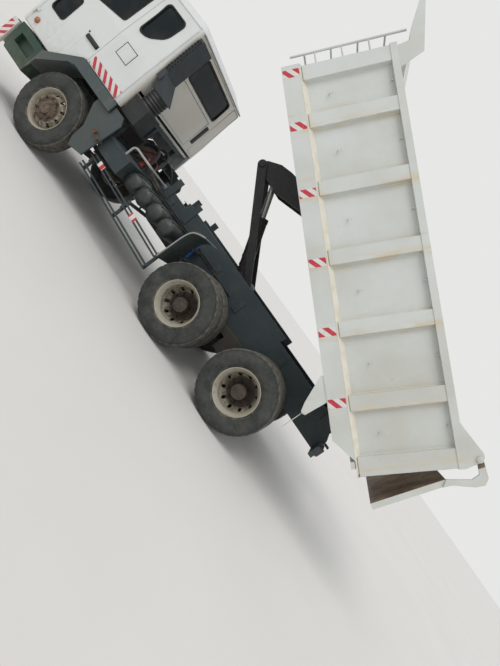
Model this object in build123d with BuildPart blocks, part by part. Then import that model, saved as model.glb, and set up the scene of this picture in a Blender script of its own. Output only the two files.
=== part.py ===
"""Dump truck: a three-axle tipper with a sleeper cab, its bed half raised on a scissor hoist.

Frame: +X forward, +Y to the driver's left, +Z up, in millimetres. The origin lies on the ground
under the middle of the whole outline. Lengths marked "from axle" are measured from the trailing
rear axle, at rear_axle_x. Those of the cab, the engine and all else at the front are measured from
front_zero, which lies 4660 mm behind the front axle and moves with it.
"""

import os
from math import cos, hypot, radians, sin

from build123d import *

# Running gear
rear_axle_x = -1946.3
axle_spread = 1330.0
wheelbase = 3330.0
tyre_dia = 1060.0
tyre_width = 286.0
tyre_tread_width = 226.0
rim_flange_dia = 600.0
rim_seat_dia = 570.0
rim_well_dia = 516.0
rim_width = 236.0
rim_wall = 10.0
front_track = 2120.0
twin_track = 1850.0
twin_spacing = 320.0
disc_thickness = 12.0
wheel_bore_dia = 281.0
flange_radius = 195.0
drum_radius = 205.0
hub_cap_radius = 95.0
spindle_radius = 45.0
stub_radius = 60.0
hand_holes = 10
hand_hole_dia = 46.0
hand_hole_circle = 220.0
kingpin_y = 900.0
kingpin_dia = 48.0
seat_gap = 0.3
moving_gap = 6.0

mid_axle_x = rear_axle_x + axle_spread
front_axle_x = mid_axle_x + wheelbase
front_zero = front_axle_x - 4660.0
bogie_x = (rear_axle_x + mid_axle_x) / 2
axle_z = tyre_dia / 2

# Frame and subframe, lengths from axle
rail_top = 1060.0
rail_height = 280.0
rail_flange = 80.0
rail_web = 8.0
rail_half_width = 430.0
rail_rear = rear_axle_x - 1060.0
rail_front = front_zero + 5930.0
crossmember_height = 160.0
subframe_height = 180.0
subframe_front = rear_axle_x + 3120.0
rest_height = 95.0
rest_width = 70.0
rest_x = (rear_axle_x + 290.0, rear_axle_x + 2650.0)

subframe_top = rail_top + subframe_height

# Bed, in its own axes: along it from the rear corner of the skirt, and up from the skirt's edge
bed_angle = 27.7
hinge_x = rear_axle_x - 990.0
hinge_z = 1195.0
hinge_along = 100.0
bed_length = 4536.0
bed_overhang = 440.0
bed_half_width = 1250.0
sheet = 8.0
rib_depth = 70.0
skirt_height = 225.0
ledge_top = 262.0
floor_level = 253.0
rail_low = 1300.0
side_top = 1386.0
rib_width = 200.0
rib_pitch = 850.0
rib_count = 5
canopy_reach = 690.0
hinge_pin_dia = 60.0
beam_depth = 80.0
gate_pivot = (-356.0, 1526.0)
gate_open = 13.2
gate_thickness = 70.0
gate_gap = 8.0
tow_bore_dia = 40.0

inner_half = bed_half_width - rib_depth - sheet
floor_bottom = floor_level - sheet

# Scissor hoist: pins as (x from axle, z) as it stands, the lever's tail in the bed's axes.
# From the middle outwards lie the cylinder, the lever's plates, the arms and the arms' ears.
arm_base = (1265.0, 1311.0)
knee = (2583.0, 2499.0)
rod_eye = (2315.0, 2509.0)
cylinder_base = (1443.0, 1286.0)
lever_tail = (3172.0, 198.0)
pin_dia = 60.0
barrel_dia = 190.0
collar_dia = 204.0
barrel_length = 860.0
rod_dia = 95.0
lever_plate = 20.0
arm_plate = 25.0
ear_plate = 25.0

# Cab, lengths from front_zero
cab_wall = 45.0
cab_floor = 1660.0
step_floor = 1380.0
floor_thickness = 40.0
door_rear = front_zero + 4835.0
door_front = front_zero + 5990.0
door_gap = 6.0
arch_top = 1355.0
cab_bottom = 985.0
glass_thickness = 6.0
glass_recess = 12.0
cab_pivot = (front_zero + 6000.0, 1000.0)
cab_pin_dia = 40.0
cab_ear = 22.0


def from_axle(*points):
    """Points given from the trailing axle, in the part's frame."""
    return [(rear_axle_x + x, z) for x, z in points]


def from_front(*points):
    """Points given from front_zero, in the part's frame."""
    return [(front_zero + x, z) for x, z in points]


def block(x_range, y_range, z_range, mode=Mode.ADD):
    """A box between two corners of the current builder's axes."""
    ranges = (x_range, y_range, z_range)
    with Locations(tuple((low + high) / 2 for low, high in ranges)):
        Box(*(high - low for low, high in ranges), mode=mode)


def side_plane(y):
    """An upright plane along the truck at y. What is extruded from it grows to the right."""
    return Plane.XZ.offset(-y)


def plate(points, plane, thickness, mode=Mode.ADD, margin=0):
    """A flat plate: its outline on a plane, drawn in by a margin, grown along the plane's normal."""
    with BuildSketch(plane) as outline:
        with BuildLine():
            Polyline(*points, close=True)
        make_face()
        if margin:
            offset(amount=-margin, kind=Kind.INTERSECTION)
    extrude(outline.sketch, amount=thickness, mode=mode)


def turned(points, x, z):
    """A ring about a cross axis: points are (radius, y)."""
    with BuildSketch(Plane(origin=(x, 0, z), x_dir=(1, 0, 0), z_dir=(0, 0, 1))) as section:
        with BuildLine():
            Polyline(*points, close=True)
        make_face()
    revolve(section.sketch, axis=Axis((x, 0, z), (0, 1, 0)))


def cross_bar(x, z, y_range, radius, mode=Mode.ADD):
    """A round bar across the truck."""
    with Locations(Plane(origin=(x, (y_range[0] + y_range[1]) / 2, z), z_dir=(0, 1, 0))):
        Cylinder(radius, y_range[1] - y_range[0], mode=mode)


def round_bar(start, end, radius):
    """A straight round bar between two 3D points."""
    heading = Vector(*end) - Vector(*start)
    with Locations(Plane(origin=start, z_dir=heading)):
        Cylinder(radius, heading.length, align=(Align.CENTER, Align.CENTER, Align.MIN))


def pipe(points, radius, bend):
    """A bent round pipe through 3D points."""
    with BuildLine() as path:
        FilletPolyline(*points, radius=bend)
    with BuildSketch(Plane(origin=path.line @ 0, z_dir=path.line % 0)) as section:
        Circle(radius)
    sweep(section.sketch, path=path.line)


def write(builder, name):
    """Label one finished piece and write it."""
    builder.part.label = name
    export_step(builder.part, f"parts/{name}.step")


os.makedirs("parts", exist_ok=True)

# Chassis: side rails joined by cross members
with BuildPart() as frame_rails:
    for x in (rear_axle_x - 1040, bogie_x, rear_axle_x + 2490, front_zero + 5750):
        inner = rail_half_width - rail_web
        low = rail_top - (rail_height + crossmember_height) / 2
        block((x, x + 90), (-inner, inner), (low, low + crossmember_height))
        block((x + 8, x + 98), (-inner, inner), (low + 8, low + crossmember_height - 8), mode=Mode.SUBTRACT)
    for side in (1, -1):
        outer = side * rail_half_width
        web = sorted((outer, outer - side * rail_web))
        lip = sorted((outer, outer - side * rail_flange))
        block((rail_rear, rail_front), web, (rail_top - rail_height, rail_top))
        for z in (rail_top - rail_height, rail_top - rail_web):
            block((rail_rear, rail_front), lip, (z, z + rail_web))
        ear = sorted((outer, outer + side * cab_ear))
        outline = ((-210, -100), (40, -45), (45, 35), (-210, 60))
        plate([(cab_pivot[0] + x, cab_pivot[1] + z) for x, z in outline], side_plane(ear[1]), ear[1] - ear[0])
        pin = sorted((outer + side * cab_ear, outer + side * (2 * cab_ear + 2 * moving_gap)))
        cross_bar(*cab_pivot, pin, cab_pin_dia / 2)
write(frame_rails, "frame_rails")

# Subframe: rails on the frame, rests for the lowered bed, hinge and hoist brackets
hinge_bracket = (rail_half_width + 2, rail_half_width + 32)
lever_y = (collar_dia / 2 + moving_gap, collar_dia / 2 + moving_gap + lever_plate)
arm_y = (lever_y[1] + moving_gap, lever_y[1] + moving_gap + arm_plate)
arm_ear = (arm_y[1] + moving_gap, arm_y[1] + moving_gap + ear_plate)
cylinder_ear = (barrel_dia / 2 + moving_gap, barrel_dia / 2 + moving_gap + ear_plate)
member_top = subframe_top - 20
arm_x, arm_z = from_axle(arm_base)[0]
base_x, base_z = from_axle(cylinder_base)[0]

guides = ((2450.0, 2550.0, 1432.0), (2925.0, 3030.0, 1430.0))
with BuildPart() as subframe:
    for x, reach, top in ((rail_rear + 240, 45, member_top), (arm_x, 80, member_top),
                          (subframe_front - 45, 45, 1165)):
        block((x - reach, x + reach), (-rail_half_width, rail_half_width), (rail_top, top))
    block((base_x - 90, base_x + 90), (-rail_half_width, rail_half_width), (rail_top, 1120))
    for side in (1, -1):
        outer = side * rail_half_width
        web = sorted((outer, outer - side * rail_web))
        lip = sorted((outer, outer - side * rail_flange))
        block((rail_rear, subframe_front), web, (rail_top, subframe_top))
        for z in (rail_top, subframe_top - rail_web):
            block((rail_rear, subframe_front), lip, (z, z + rail_web))
        rest = sorted((outer, outer - side * rest_width))
        block(rest_x, rest, (subframe_top, subframe_top + rest_height))
        bracket = sorted(side * y for y in (rail_half_width, hinge_bracket[1]))
        outline = ((-65, -130), (150, -130), (150, 20), (60, 70), (-60, 70), (-65, 0))
        plate([(hinge_x + x, hinge_z + z) for x, z in outline], side_plane(bracket[1]),
              bracket[1] - bracket[0])
        cross_bar(hinge_x, hinge_z, bracket, hinge_pin_dia / 2 + seat_gap, mode=Mode.SUBTRACT)
        for start, end, top in guides:
            low, high = sorted((outer, outer + side * 14))
            block((rear_axle_x + start, rear_axle_x + end), (low, high), (1100, top))
        for x, z, ear, reach in ((arm_x, arm_z, arm_ear, 90.0), (base_x, base_z, cylinder_ear, 110.0)):
            low, high = sorted(side * y for y in ear)
            outline = ((x - reach, rail_top), (x + reach, rail_top), (x + 42, z + 42), (x - 42, z + 42))
            plate(outline, side_plane(high), high - low)
    for x, z, ear in ((arm_x, arm_z, arm_ear), (base_x, base_z, cylinder_ear)):
        cross_bar(x, z, (-ear[0], ear[0]), pin_dia / 2)
write(subframe, "subframe")

# Axles
spring_y = 400.0
rear_spring_y = 490.0
beam_half = kingpin_y - 40
with BuildPart() as front_axle:
    x = front_axle_x
    block((x - 45, x + 45), (-560, 560), (axle_z - 150, axle_z - 50))
    for side in (1, -1):
        outline = ((560, -150), (560, -50), (beam_half, 50), (beam_half, -50))
        plate([(side * y, axle_z + z) for y, z in outline], Plane.YZ.offset(x - 45), 90)
        with Locations((x, side * kingpin_y, axle_z)):
            Cylinder(55, 120)
        with Locations((x, side * kingpin_y, axle_z)):
            Cylinder(kingpin_dia / 2 + seat_gap, 130, mode=Mode.SUBTRACT)
write(front_axle, "front_axle")

with BuildPart() as rear_axles:
    for x in (rear_axle_x, mid_axle_x):
        cross_bar(x, axle_z, (-560, 560), 75)
        for side in (1, -1):
            cross_bar(x, axle_z, sorted((side * 500, side * 1080)), stub_radius)
            cross_bar(x, axle_z, sorted((side * 560, side * 585)), 190)
        with Locations(Plane(origin=(x, 0, axle_z), z_dir=(0, 1, 0))):
            Cone(190, 95, 120, align=(Align.CENTER, Align.CENTER, Align.MIN))
        with Locations(Plane(origin=(x, 0, axle_z), z_dir=(0, -1, 0))):
            Cone(190, 95, 120, align=(Align.CENTER, Align.CENTER, Align.MIN))
        with Locations(Plane(origin=(x + 150, 0, axle_z), z_dir=(1, 0, 0))):
            Cone(120, 60, 200)
write(rear_axles, "rear_axles")

# Leaf springs: front packs on the beam, rear packs on the bogie trunnion
spring_width = 90.0
front_hanger_reach = 760.0
rear_spring_z = axle_z + 160.0
with BuildPart() as leaf_springs:
    for side in (1, -1):
        low, high = sorted((side * (spring_y - spring_width / 2), side * (spring_y + spring_width / 2)))
        bottom = axle_z - 50 + seat_gap
        for leaf, half in enumerate((760.0, 620.0, 480.0)):
            z = bottom + 20 * (2 - leaf)
            rise = 70 * half / 760.0
            outline = ((-half, z + rise), (0, z), (half, z + rise), (half, z + rise + 20), (0, z + 20),
                       (-half, z + rise + 20))
            plate([(front_axle_x + x, z) for x, z in outline], side_plane(high), high - low)
        for x in (-front_hanger_reach, front_hanger_reach - 70):
            hanger = (front_axle_x + x, front_axle_x + x + 70)
            block(hanger, (low, high), (bottom + 110, rail_top - rail_height - seat_gap))
        low, high = sorted((side * (rear_spring_y - spring_width / 2),
                            side * (rear_spring_y + spring_width / 2)))
        for leaf, half in enumerate((715.0, 600.0, 490.0, 380.0, 270.0)):
            z = rear_spring_z + 22 * leaf
            drop = 60 * half / 715.0
            outline = ((-half, z - drop), (0, z), (half, z - drop), (half, z - drop + 22), (0, z + 22),
                       (-half, z - drop + 22))
            plate([(bogie_x + x, z) for x, z in outline], side_plane(high), high - low)
        block((bogie_x - 110, bogie_x + 110), (low, high), (axle_z - 60, rear_spring_z + 10))
        cross_bar(bogie_x, axle_z, sorted((side * 340, side * (rear_spring_y + 60))), 60)
        trunnion = sorted((side * (rail_half_width - rail_flange), side * rail_half_width))
        block((bogie_x - 90, bogie_x + 90), trunnion, (axle_z, rail_top - rail_height - seat_gap))
        for x in (rear_axle_x, mid_axle_x):
            block((x - 60, x + 60), (low, high), (axle_z + 75 + seat_gap, rear_spring_z - 40))
write(leaf_springs, "leaf_springs")

# Engine, gearbox and shafts
engine = ((3950.0, 5450.0), (-330.0, 330.0), (700.0, 1320.0))
with BuildPart() as engine_block:
    block([front_zero + x for x in engine[0]], engine[1], engine[2])
    for side in (1, -1):
        lug = sorted((side * 330, side * (rail_half_width - rail_web - seat_gap)))
        for x in (4100.0, 5250.0):
            block((front_zero + x, front_zero + x + 120), lug, (900, 960))
write(engine_block, "engine_block")

with BuildPart() as driveline:
    for x_near, length, radii in ((3350.0, 599.7, (170.0, 260.0)), (3100.0, 250.0, (90.0, 150.0))):
        with Locations(Plane(origin=(front_zero + x_near, 0, 900), z_dir=(1, 0, 0))):
            Cone(*radii, length, align=(Align.CENTER, Align.CENTER, Align.MIN))
        shafts = (((front_zero + 3105, 900.0), (mid_axle_x + 263.5, axle_z)),
              ((mid_axle_x - 190.3, axle_z), (rear_axle_x + 250.3, axle_z)))
    for start, end in shafts:
        round_bar((start[0], 0, start[1]), (end[0], 0, end[1]), 55)
write(driveline, "driveline")

# Air tanks across the left rail, with domed ends
tank_radius = 130.0
tank_pitch = 270.0
tank_z = 905.0
with BuildPart() as air_tanks:
    for i in range(4):
        x = rear_axle_x + 2350.0 + tank_pitch * i
        turned(((0, 520), (90, 530), (tank_radius, 575), (tank_radius, 925), (90, 970), (0, 980)), x, tank_z)
        block((x - 20, x + 20), (rail_half_width + seat_gap, 560), (tank_z + 20, tank_z + 90))
        block((x - 20, x + 20), (540, 940), (tank_z + tank_radius - 6, tank_z + tank_radius + 12))
write(air_tanks, "air_tanks")

# Battery box, and the bent handrail beside its lid
battery = ((3305.0, 3800.0), (640.0, 1100.0), (785.0, 1045.0))
with BuildPart() as battery_box:
    block([front_zero + x for x in battery[0]], battery[1], battery[2])
    lid = (front_zero + battery[0][0] - 5, front_zero + battery[0][1] + 8)
    block(lid, (630, 1108), (battery[2][1] - 30, battery[2][1] + 6))
    for x_near in (3350.0, 3680.0):
        x = front_zero + x_near
        block((x, x + 60), (rail_half_width + seat_gap, 650), (820, 900))
write(battery_box, "battery_box")

with BuildPart() as handrail:
    x = front_zero + 3460
    foot = battery[2][1] + 6 + seat_gap
    pipe(((x, 1060, foot), (x, 1060, 1220), (x - 340, 1000, 1215), (x - 380, 450, 1180)), 16, 60)
    block((x - 405, x - 355), (rail_half_width + seat_gap, 454), (1155, 1205))
write(handrail, "handrail")

# Filter canister on the left rail
canister_radius = 50.0
with BuildPart() as filter_can:
    x = rear_axle_x + 2037
    y = rail_half_width + 30 + canister_radius
    with Locations((x, y, 965)):
        Cylinder(canister_radius, 190)
    with Locations((x, y, 1070)):
        Cylinder(canister_radius - 14, 30)
    block((x - 30, x + 30), (rail_half_width + seat_gap, y), (1025, 1060))
write(filter_can, "filter_can")

# Fuel tank and silencer on the right
fuel = ((2350.0, 3420.0), (-1130.0, -560.0), (520.0, 1010.0))
with BuildPart() as fuel_tank:
    with BuildSketch(Plane.YZ.offset(rear_axle_x + fuel[0][0])):
        with Locations(((fuel[1][0] + fuel[1][1]) / 2, (fuel[2][0] + fuel[2][1]) / 2)):
            RectangleRounded(fuel[1][1] - fuel[1][0], fuel[2][1] - fuel[2][0], 90)
    extrude(amount=fuel[0][1] - fuel[0][0])
    with Locations((rear_axle_x + 3200, -950, fuel[2][1])):
        Cylinder(60, 40)
    for x_near in (2550.0, 3150.0):
        x = rear_axle_x + x_near
        block((x, x + 60), (fuel[1][1] - 5, -rail_half_width - seat_gap), (800, 900))
write(fuel_tank, "fuel_tank")

with BuildPart() as exhaust:
    with Locations(Plane(origin=(front_zero + 3640, -760, 820), z_dir=(1, 0, 0))):
        Cylinder(150, 420)
    x = front_zero + 3640
    block((x - 20, x + 20), (-630, -rail_half_width - seat_gap), (840, 900))
    with Locations(Plane(origin=(x - 60, -760, 660), z_dir=(0, 0, 1))):
        Cylinder(45, 120)
write(exhaust, "exhaust")

# Side guard on the left: two sloping double rails on posts
guard_y = 1100.0
guard_x = (2010.0, 3770.0)
guard_drop = 80.0
guard_rails = (740.0, 540.0)
with BuildPart() as side_guards:
    for z in guard_rails:
        front, rear = rear_axle_x + guard_x[1], rear_axle_x + guard_x[0]
        for low in (z - 25, z - 75):
            outline = ((front, low), (front, low + 18), (rear, low + 18 - guard_drop),
                       (rear, low - guard_drop))
            plate(outline, side_plane(guard_y), 40)
    for x_near in (2040.0, 2880.0, 3700.0):
        x = rear_axle_x + x_near
        foot = guard_rails[1] - 75 - guard_drop * (guard_x[1] - x_near) / (guard_x[1] - guard_x[0])
        block((x - 20, x + 20), (guard_y - 70, guard_y - 40), (foot, guard_rails[0]))
        block((x - 20, x + 20), (guard_y - 70, guard_y - 10), (guard_rails[0] - 75 - guard_drop,
            guard_rails[0] - 60))
        block((x - 20, x + 20), (rail_half_width + seat_gap, guard_y - 40), (700, 740))
        block((x - 20, x + 20), (rail_half_width + seat_gap, rail_half_width + 30), (700, 815))
write(side_guards, "side_guards")

# Bumper with lamp pockets, and the panels below the doors
bumper_z = (507.0, 895.0)
bumper_front = front_zero + 6250.0
bumper_rear = front_zero + 5975.0
bumper_half = 1220.0
lamp_y = 820.0
with BuildPart() as front_bumper:
    with BuildSketch(Plane.XY.offset(bumper_z[0])):
        with BuildLine():
            Polyline(
                (bumper_rear, bumper_half), (bumper_front - 150, bumper_half),
                (bumper_front, bumper_half - 150),
                (bumper_front, -bumper_half + 150), (bumper_front - 150, -bumper_half),
                (bumper_rear, -bumper_half),
                (bumper_rear, -bumper_half + 50), (bumper_front - 170, -bumper_half + 50),
                (bumper_front - 60, -bumper_half + 160), (bumper_front - 60, bumper_half - 160),
                (bumper_front - 170, bumper_half - 50), (bumper_rear, bumper_half - 50), close=True,
            )
        make_face()
    extrude(amount=bumper_z[1] - bumper_z[0])
    for side in (1, -1):
        with Locations((bumper_front, side * lamp_y, (bumper_z[0] + bumper_z[1]) / 2)):
            Box(60, 320, 180, mode=Mode.SUBTRACT)
        low, high = sorted((side * (rail_half_width - rail_flange), side * rail_half_width))
        block((rail_front + seat_gap, bumper_front - 50), (low, high), (780, 880))
write(front_bumper, "front_bumper")

step_x = (5371.0, 5955.0)
step_z = (520.0, 955.0)
with BuildPart() as cab_steps:
    front, rear = front_zero + step_x[1], front_zero + step_x[0]
    outline = ((rear, step_z[0]), (front - 90, step_z[0]), (front - 25, step_z[0] + 90), (front, step_z[1]),
               (rear, step_z[1]))
    step_face = bumper_half - 20
    plate(outline, side_plane(step_face), 260)
    block((rear + 90, front - 130), (step_face - 80, step_face + 10), (step_z[0] + 170, step_z[1] - 110),
          mode=Mode.SUBTRACT)
    block((rear + 60, rear + 140), (rail_half_width + seat_gap, step_face - 240), (800, 880))
    mirror(about=Plane.XZ)
write(cab_steps, "cab_steps")

# Mudguards: the plate behind the front wheel, and the arched sheet before the rear wheels
with BuildPart() as mudguards:
    outline = from_front(
        (3988, 1310), (3800, 1312), (3730, 1210), (3790, 560), (4030, 500), (4088, 620), (4100, 820),
        (4262, 1100),
        (4262, 1188), (3988, 1188),
    )
    plate(outline, side_plane(1190), 25)
    back = from_front(
        (4040, 500), (4050, 640), (4085, 800), (4170, 960), (4262, 1100), (4238, 1114), (4148, 972),
        (4062, 808),
        (4026, 644), (4016, 500),
    )
    plate(back, side_plane(1180), 330)
    block((front_zero + 3920, front_zero + 3970), (rail_half_width + seat_gap, 1170), (950, 1000))
    flap = ((2000.0, 650.0), (1985.0, 1110.0), (1930.0, 1235.0), (1784.0, 1288.0))
    with BuildSketch(side_plane(1190)) as flap_section:
        with BuildLine():
            for points in (from_axle(*flap), from_axle(*((x - 10, z - 12) for x, z in flap))):
                Line(points[0], points[1])
                ThreePointArc(*points[1:])
            Line(from_axle(flap[0])[0], from_axle((flap[0][0] - 10, flap[0][1] - 12))[0])
            Line(from_axle(flap[3])[0], from_axle((flap[3][0] - 10, flap[3][1] - 12))[0])
        make_face()
    extrude(flap_section.sketch, amount=560)
    for z in (800.0, 1000.0):
        x = rear_axle_x + 1960
        block((x - 20, x + 22), (rail_half_width + seat_gap, 700), (z, z + 40))
    mirror(about=Plane.XZ)
write(mudguards, "mudguards")

# Air cleaner with its bellows, below the intake duct
cleaner = ((3710.0, 4015.0), (760.0, 1090.0), (1345.0, 1640.0))
bellows_at = (3872.0, 930.0)
bellows_radius = 150.0
duct_bottom = 1870.0
with BuildPart() as air_cleaner:
    block([front_zero + x for x in cleaner[0]], cleaner[1], cleaner[2])
    block([front_zero + x for x in (3695.0, 4025.0)], (750, 1100), (cleaner[2][1] - 30, cleaner[2][1]))
    folds = 5
    fold = (duct_bottom - seat_gap - cleaner[2][1]) / folds
    for i in range(folds):
        with Locations((front_zero + bellows_at[0], bellows_at[1], cleaner[2][1] + fold * i)):
            Cone(bellows_radius, bellows_radius - 14, fold / 2, align=(Align.CENTER, Align.CENTER, Align.MIN))
        with Locations((front_zero + bellows_at[0], bellows_at[1], cleaner[2][1] + fold * (i + 0.5))):
            Cone(bellows_radius - 14, bellows_radius, fold / 2, align=(Align.CENTER, Align.CENTER, Align.MIN))
    x = front_zero + 3860
    block((x - 30, x + 30), (rail_half_width + seat_gap, 1000), (cleaner[2][0] - 45, cleaner[2][0]))
    block((x - 30, x + 30), (rail_half_width + seat_gap, rail_half_width + 40), (900, cleaner[2][0]))
write(air_cleaner, "air_cleaner")

# Hoop that carries the back of the cab
with BuildPart() as cab_support:
    x = front_zero + 3930
    for side in (1, -1):
        low, high = sorted((side * (rail_half_width - 60), side * rail_half_width))
        block((x - 40, x + 40), (low, high), (rail_top + seat_gap, 1560))
    block((x - 40, x + 40), (-640, 640), (1560, 1620))
    for side in (1, -1):
        low, high = sorted((side * 540, side * 640))
        block((x - 60, x + 90), (low, high), (1600, cab_floor - floor_thickness - seat_gap))
write(cab_support, "cab_support")

# Rear cross bar with the tail lamps and the towing jaw
with BuildPart() as tail_bar:
    rear = rail_rear - seat_gap
    block((rear - 60, rear), (-rail_half_width, rail_half_width), (rail_top - rail_height, rail_top - 60))
    for side in (1, -1):
        low, high = sorted((side * (rail_half_width - 10), side * 1050))
        block((rear - 60, rear), (low, high), (800, 860))
        low, high = sorted((side * 620, side * 1040))
        block((rear - 80, rear - 5), (low, high), (850, 960))
    for z in (820.0, 900.0):
        block((rear - 180, rear - 50), (-60, 60), (z, z + 25))
    with Locations((rear - 130, 0, 872)):
        Cylinder(tow_bore_dia / 2, 160, mode=Mode.SUBTRACT)
write(tail_bar, "tail_bar")

# Steering knuckles: a fork about the beam's eye, its pin, and the spindle
fork_y = kingpin_y + 61
for side, name in ((1, "knuckle_left"), (-1, "knuckle_right")):
    with BuildPart() as knuckle:
        x = front_axle_x
        for z in (-96.0, 66.0):
            block((x - 45, x + 45), sorted((side * (kingpin_y - 45), side * fork_y)),
                  (axle_z + z, axle_z + z + 30))
        block((x - 60, x + 60), sorted((side * fork_y, side * (fork_y + 24))), (axle_z - 96, axle_z + 96))
        with Locations((x, side * kingpin_y, axle_z)):
            Cylinder(kingpin_dia / 2, 200)
        cross_bar(x, axle_z, sorted((side * (fork_y + 20), side * (front_track / 2 + 105))), spindle_radius)
        arm = ((x - 230, side * 800), (x - 180, side * 770), (x - 20, side * (kingpin_y + 20)),
               (x - 20, side * fork_y))
        plate(arm, Plane.XY.offset(axle_z - 96), 26)
    write(knuckle, name)

# Wheels. A rim's section is (radius, distance from its middle plane)
flange = rim_width / 2
barrel_outline = (
    (rim_flange_dia / 2, flange), (rim_seat_dia / 2, flange - 18), (rim_well_dia / 2, flange - 78),
    (rim_well_dia / 2, -flange + 78), (rim_seat_dia / 2, -flange + 18), (rim_flange_dia / 2, -flange),
    (rim_flange_dia / 2 - rim_wall, -flange), (rim_seat_dia / 2 - rim_wall, -flange + 22),
    (rim_well_dia / 2 - rim_wall, -flange + 82), (rim_well_dia / 2 - rim_wall, flange - 82),
    (rim_seat_dia / 2 - rim_wall, flange - 22), (rim_flange_dia / 2 - rim_wall, flange),
)
bead = rim_seat_dia / 2 + seat_gap
tyre_outline = (
    (bead, flange - 18), (470, tyre_width / 2), (tyre_dia / 2, tyre_tread_width / 2),
    (tyre_dia / 2, -tyre_tread_width / 2), (470, -tyre_width / 2), (bead, -flange + 18),
)
bore = wheel_bore_dia / 2
well = rim_well_dia / 2 - rim_wall / 2


def ring(outline, side, x, y):
    """One closed ring of a wheel, its middle plane at y on one side of the truck."""
    turned([(radius, side * (y + offset)) for radius, offset in outline], x, axle_z)


def hand_hole_ring(side, x, y_range):
    """Hand holes through the dish of a wheel."""
    plane = Plane(origin=(x, side * sum(y_range) / 2, axle_z), x_dir=(1, 0, 0), z_dir=(0, 1, 0))
    with Locations(plane):
        with PolarLocations(hand_hole_circle, hand_holes):
            Cylinder(hand_hole_dia / 2, y_range[1] - y_range[0], mode=Mode.SUBTRACT)


front_y = front_track / 2
dish_out = 115.0
front_disc = (
    (bore, dish_out - disc_thickness), (flange_radius - 4, dish_out - disc_thickness), (well, 30.0),
    (well, 46.0), (flange_radius + 3, dish_out), (bore, dish_out),
)
front_hub = (
    (spindle_radius + seat_gap, -70), (drum_radius, -70), (drum_radius, 45), (bore - seat_gap, 75),
    (bore - seat_gap, dish_out + 12), (hub_cap_radius, dish_out + 22), (hub_cap_radius - 12, dish_out + 50),
    (0, dish_out + 55), (0, dish_out - 9), (spindle_radius + seat_gap, dish_out - 9),
)
for side, mark in ((1, "left"), (-1, "right")):
    with BuildPart() as front_rim:
        ring(barrel_outline, side, front_axle_x, front_y)
        ring(front_disc, side, front_axle_x, front_y)
        hand_hole_ring(side, front_axle_x, (front_y + 30, front_y + dish_out + 2))
        ring(front_hub, side, front_axle_x, front_y)
        ring(((bore - 20, dish_out - disc_thickness - 20), (flange_radius - 8,
            dish_out - disc_thickness - 20),
              (flange_radius - 8, dish_out - disc_thickness), (bore - 20, dish_out - disc_thickness)),
             side, front_axle_x, front_y)
    write(front_rim, f"rim_front_{mark}")
    with BuildPart() as front_tyre:
        ring(tyre_outline, side, front_axle_x, front_y)
    write(front_tyre, f"tyre_front_{mark}")

# Twin wheels: two rims bolted back to back, the outer one dished inwards
twin_y = (twin_track / 2 + twin_spacing / 2, twin_track / 2 - twin_spacing / 2)
half_pitch = twin_spacing / 2
outer_disc = (
    (bore, -half_pitch), (flange_radius, -half_pitch), (well, -46.0), (well, -28.0),
    (flange_radius - 8, -half_pitch + disc_thickness), (bore, -half_pitch + disc_thickness),
)
rear_hub = (
    (stub_radius + seat_gap, -328), (drum_radius, -328), (drum_radius, -half_pitch - 45),
    (flange_radius - 14, -half_pitch - 40),
    (flange_radius - 14, -half_pitch - disc_thickness), (bore - seat_gap, -half_pitch - disc_thickness),
    (bore - seat_gap, -half_pitch + 22), (hub_cap_radius + 20, -half_pitch + 40), (hub_cap_radius, 5),
    (0, 15), (0, 2),
    (stub_radius + seat_gap, 2),
)
for place, axle_x in (("middle", mid_axle_x), ("rear", rear_axle_x)):
    for side, mark in ((1, "left"), (-1, "right")):
        with BuildPart() as twin_rims:
            for y, flip in zip(twin_y, (1, -1)):
                ring(barrel_outline, side, axle_x, y)
                ring([(radius, flip * offset) for radius, offset in outer_disc], side, axle_x, y)
            hand_hole_ring(side, axle_x, (twin_y[0] - half_pitch - disc_thickness - 110, twin_y[0] - 20))
            ring(rear_hub, side, axle_x, twin_y[0])
        write(twin_rims, f"rims_{place}_{mark}")
        with BuildPart() as twin_tyres:
            for y in twin_y:
                ring(tyre_outline, side, axle_x, y)
        write(twin_tyres, f"tyres_{place}_{mark}")

# Bed
along = (cos(radians(bed_angle)), 0, sin(radians(bed_angle)))
upward = (-sin(radians(bed_angle)), 0, cos(radians(bed_angle)))
bed_origin = (hinge_x - hinge_along * along[0], 0, hinge_z - hinge_along * along[2])
bed_plane = Plane(origin=bed_origin, x_dir=along, z_dir=upward)


def bed_side_plane(y):
    """The bed's side view at y: along the bed and up from it. What is extruded grows to the right."""
    return Plane(origin=(bed_origin[0], y, bed_origin[2]), x_dir=along, z_dir=(0, -1, 0))


def bed_section(distance):
    """A cross-section of the bed: across the truck and up from the bed's base. It grows forward."""
    origin = [o + distance * a for o, a in zip(bed_origin, along)]
    return Plane(origin=origin, x_dir=(0, 1, 0), z_dir=along)


def bed_point(distance, height):
    """A point of the bed's side view in the part's (x, z)."""
    x = bed_origin[0] + distance * along[0] + height * upward[0]
    return (x, bed_origin[2] + distance * along[2] + height * upward[2])


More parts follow.
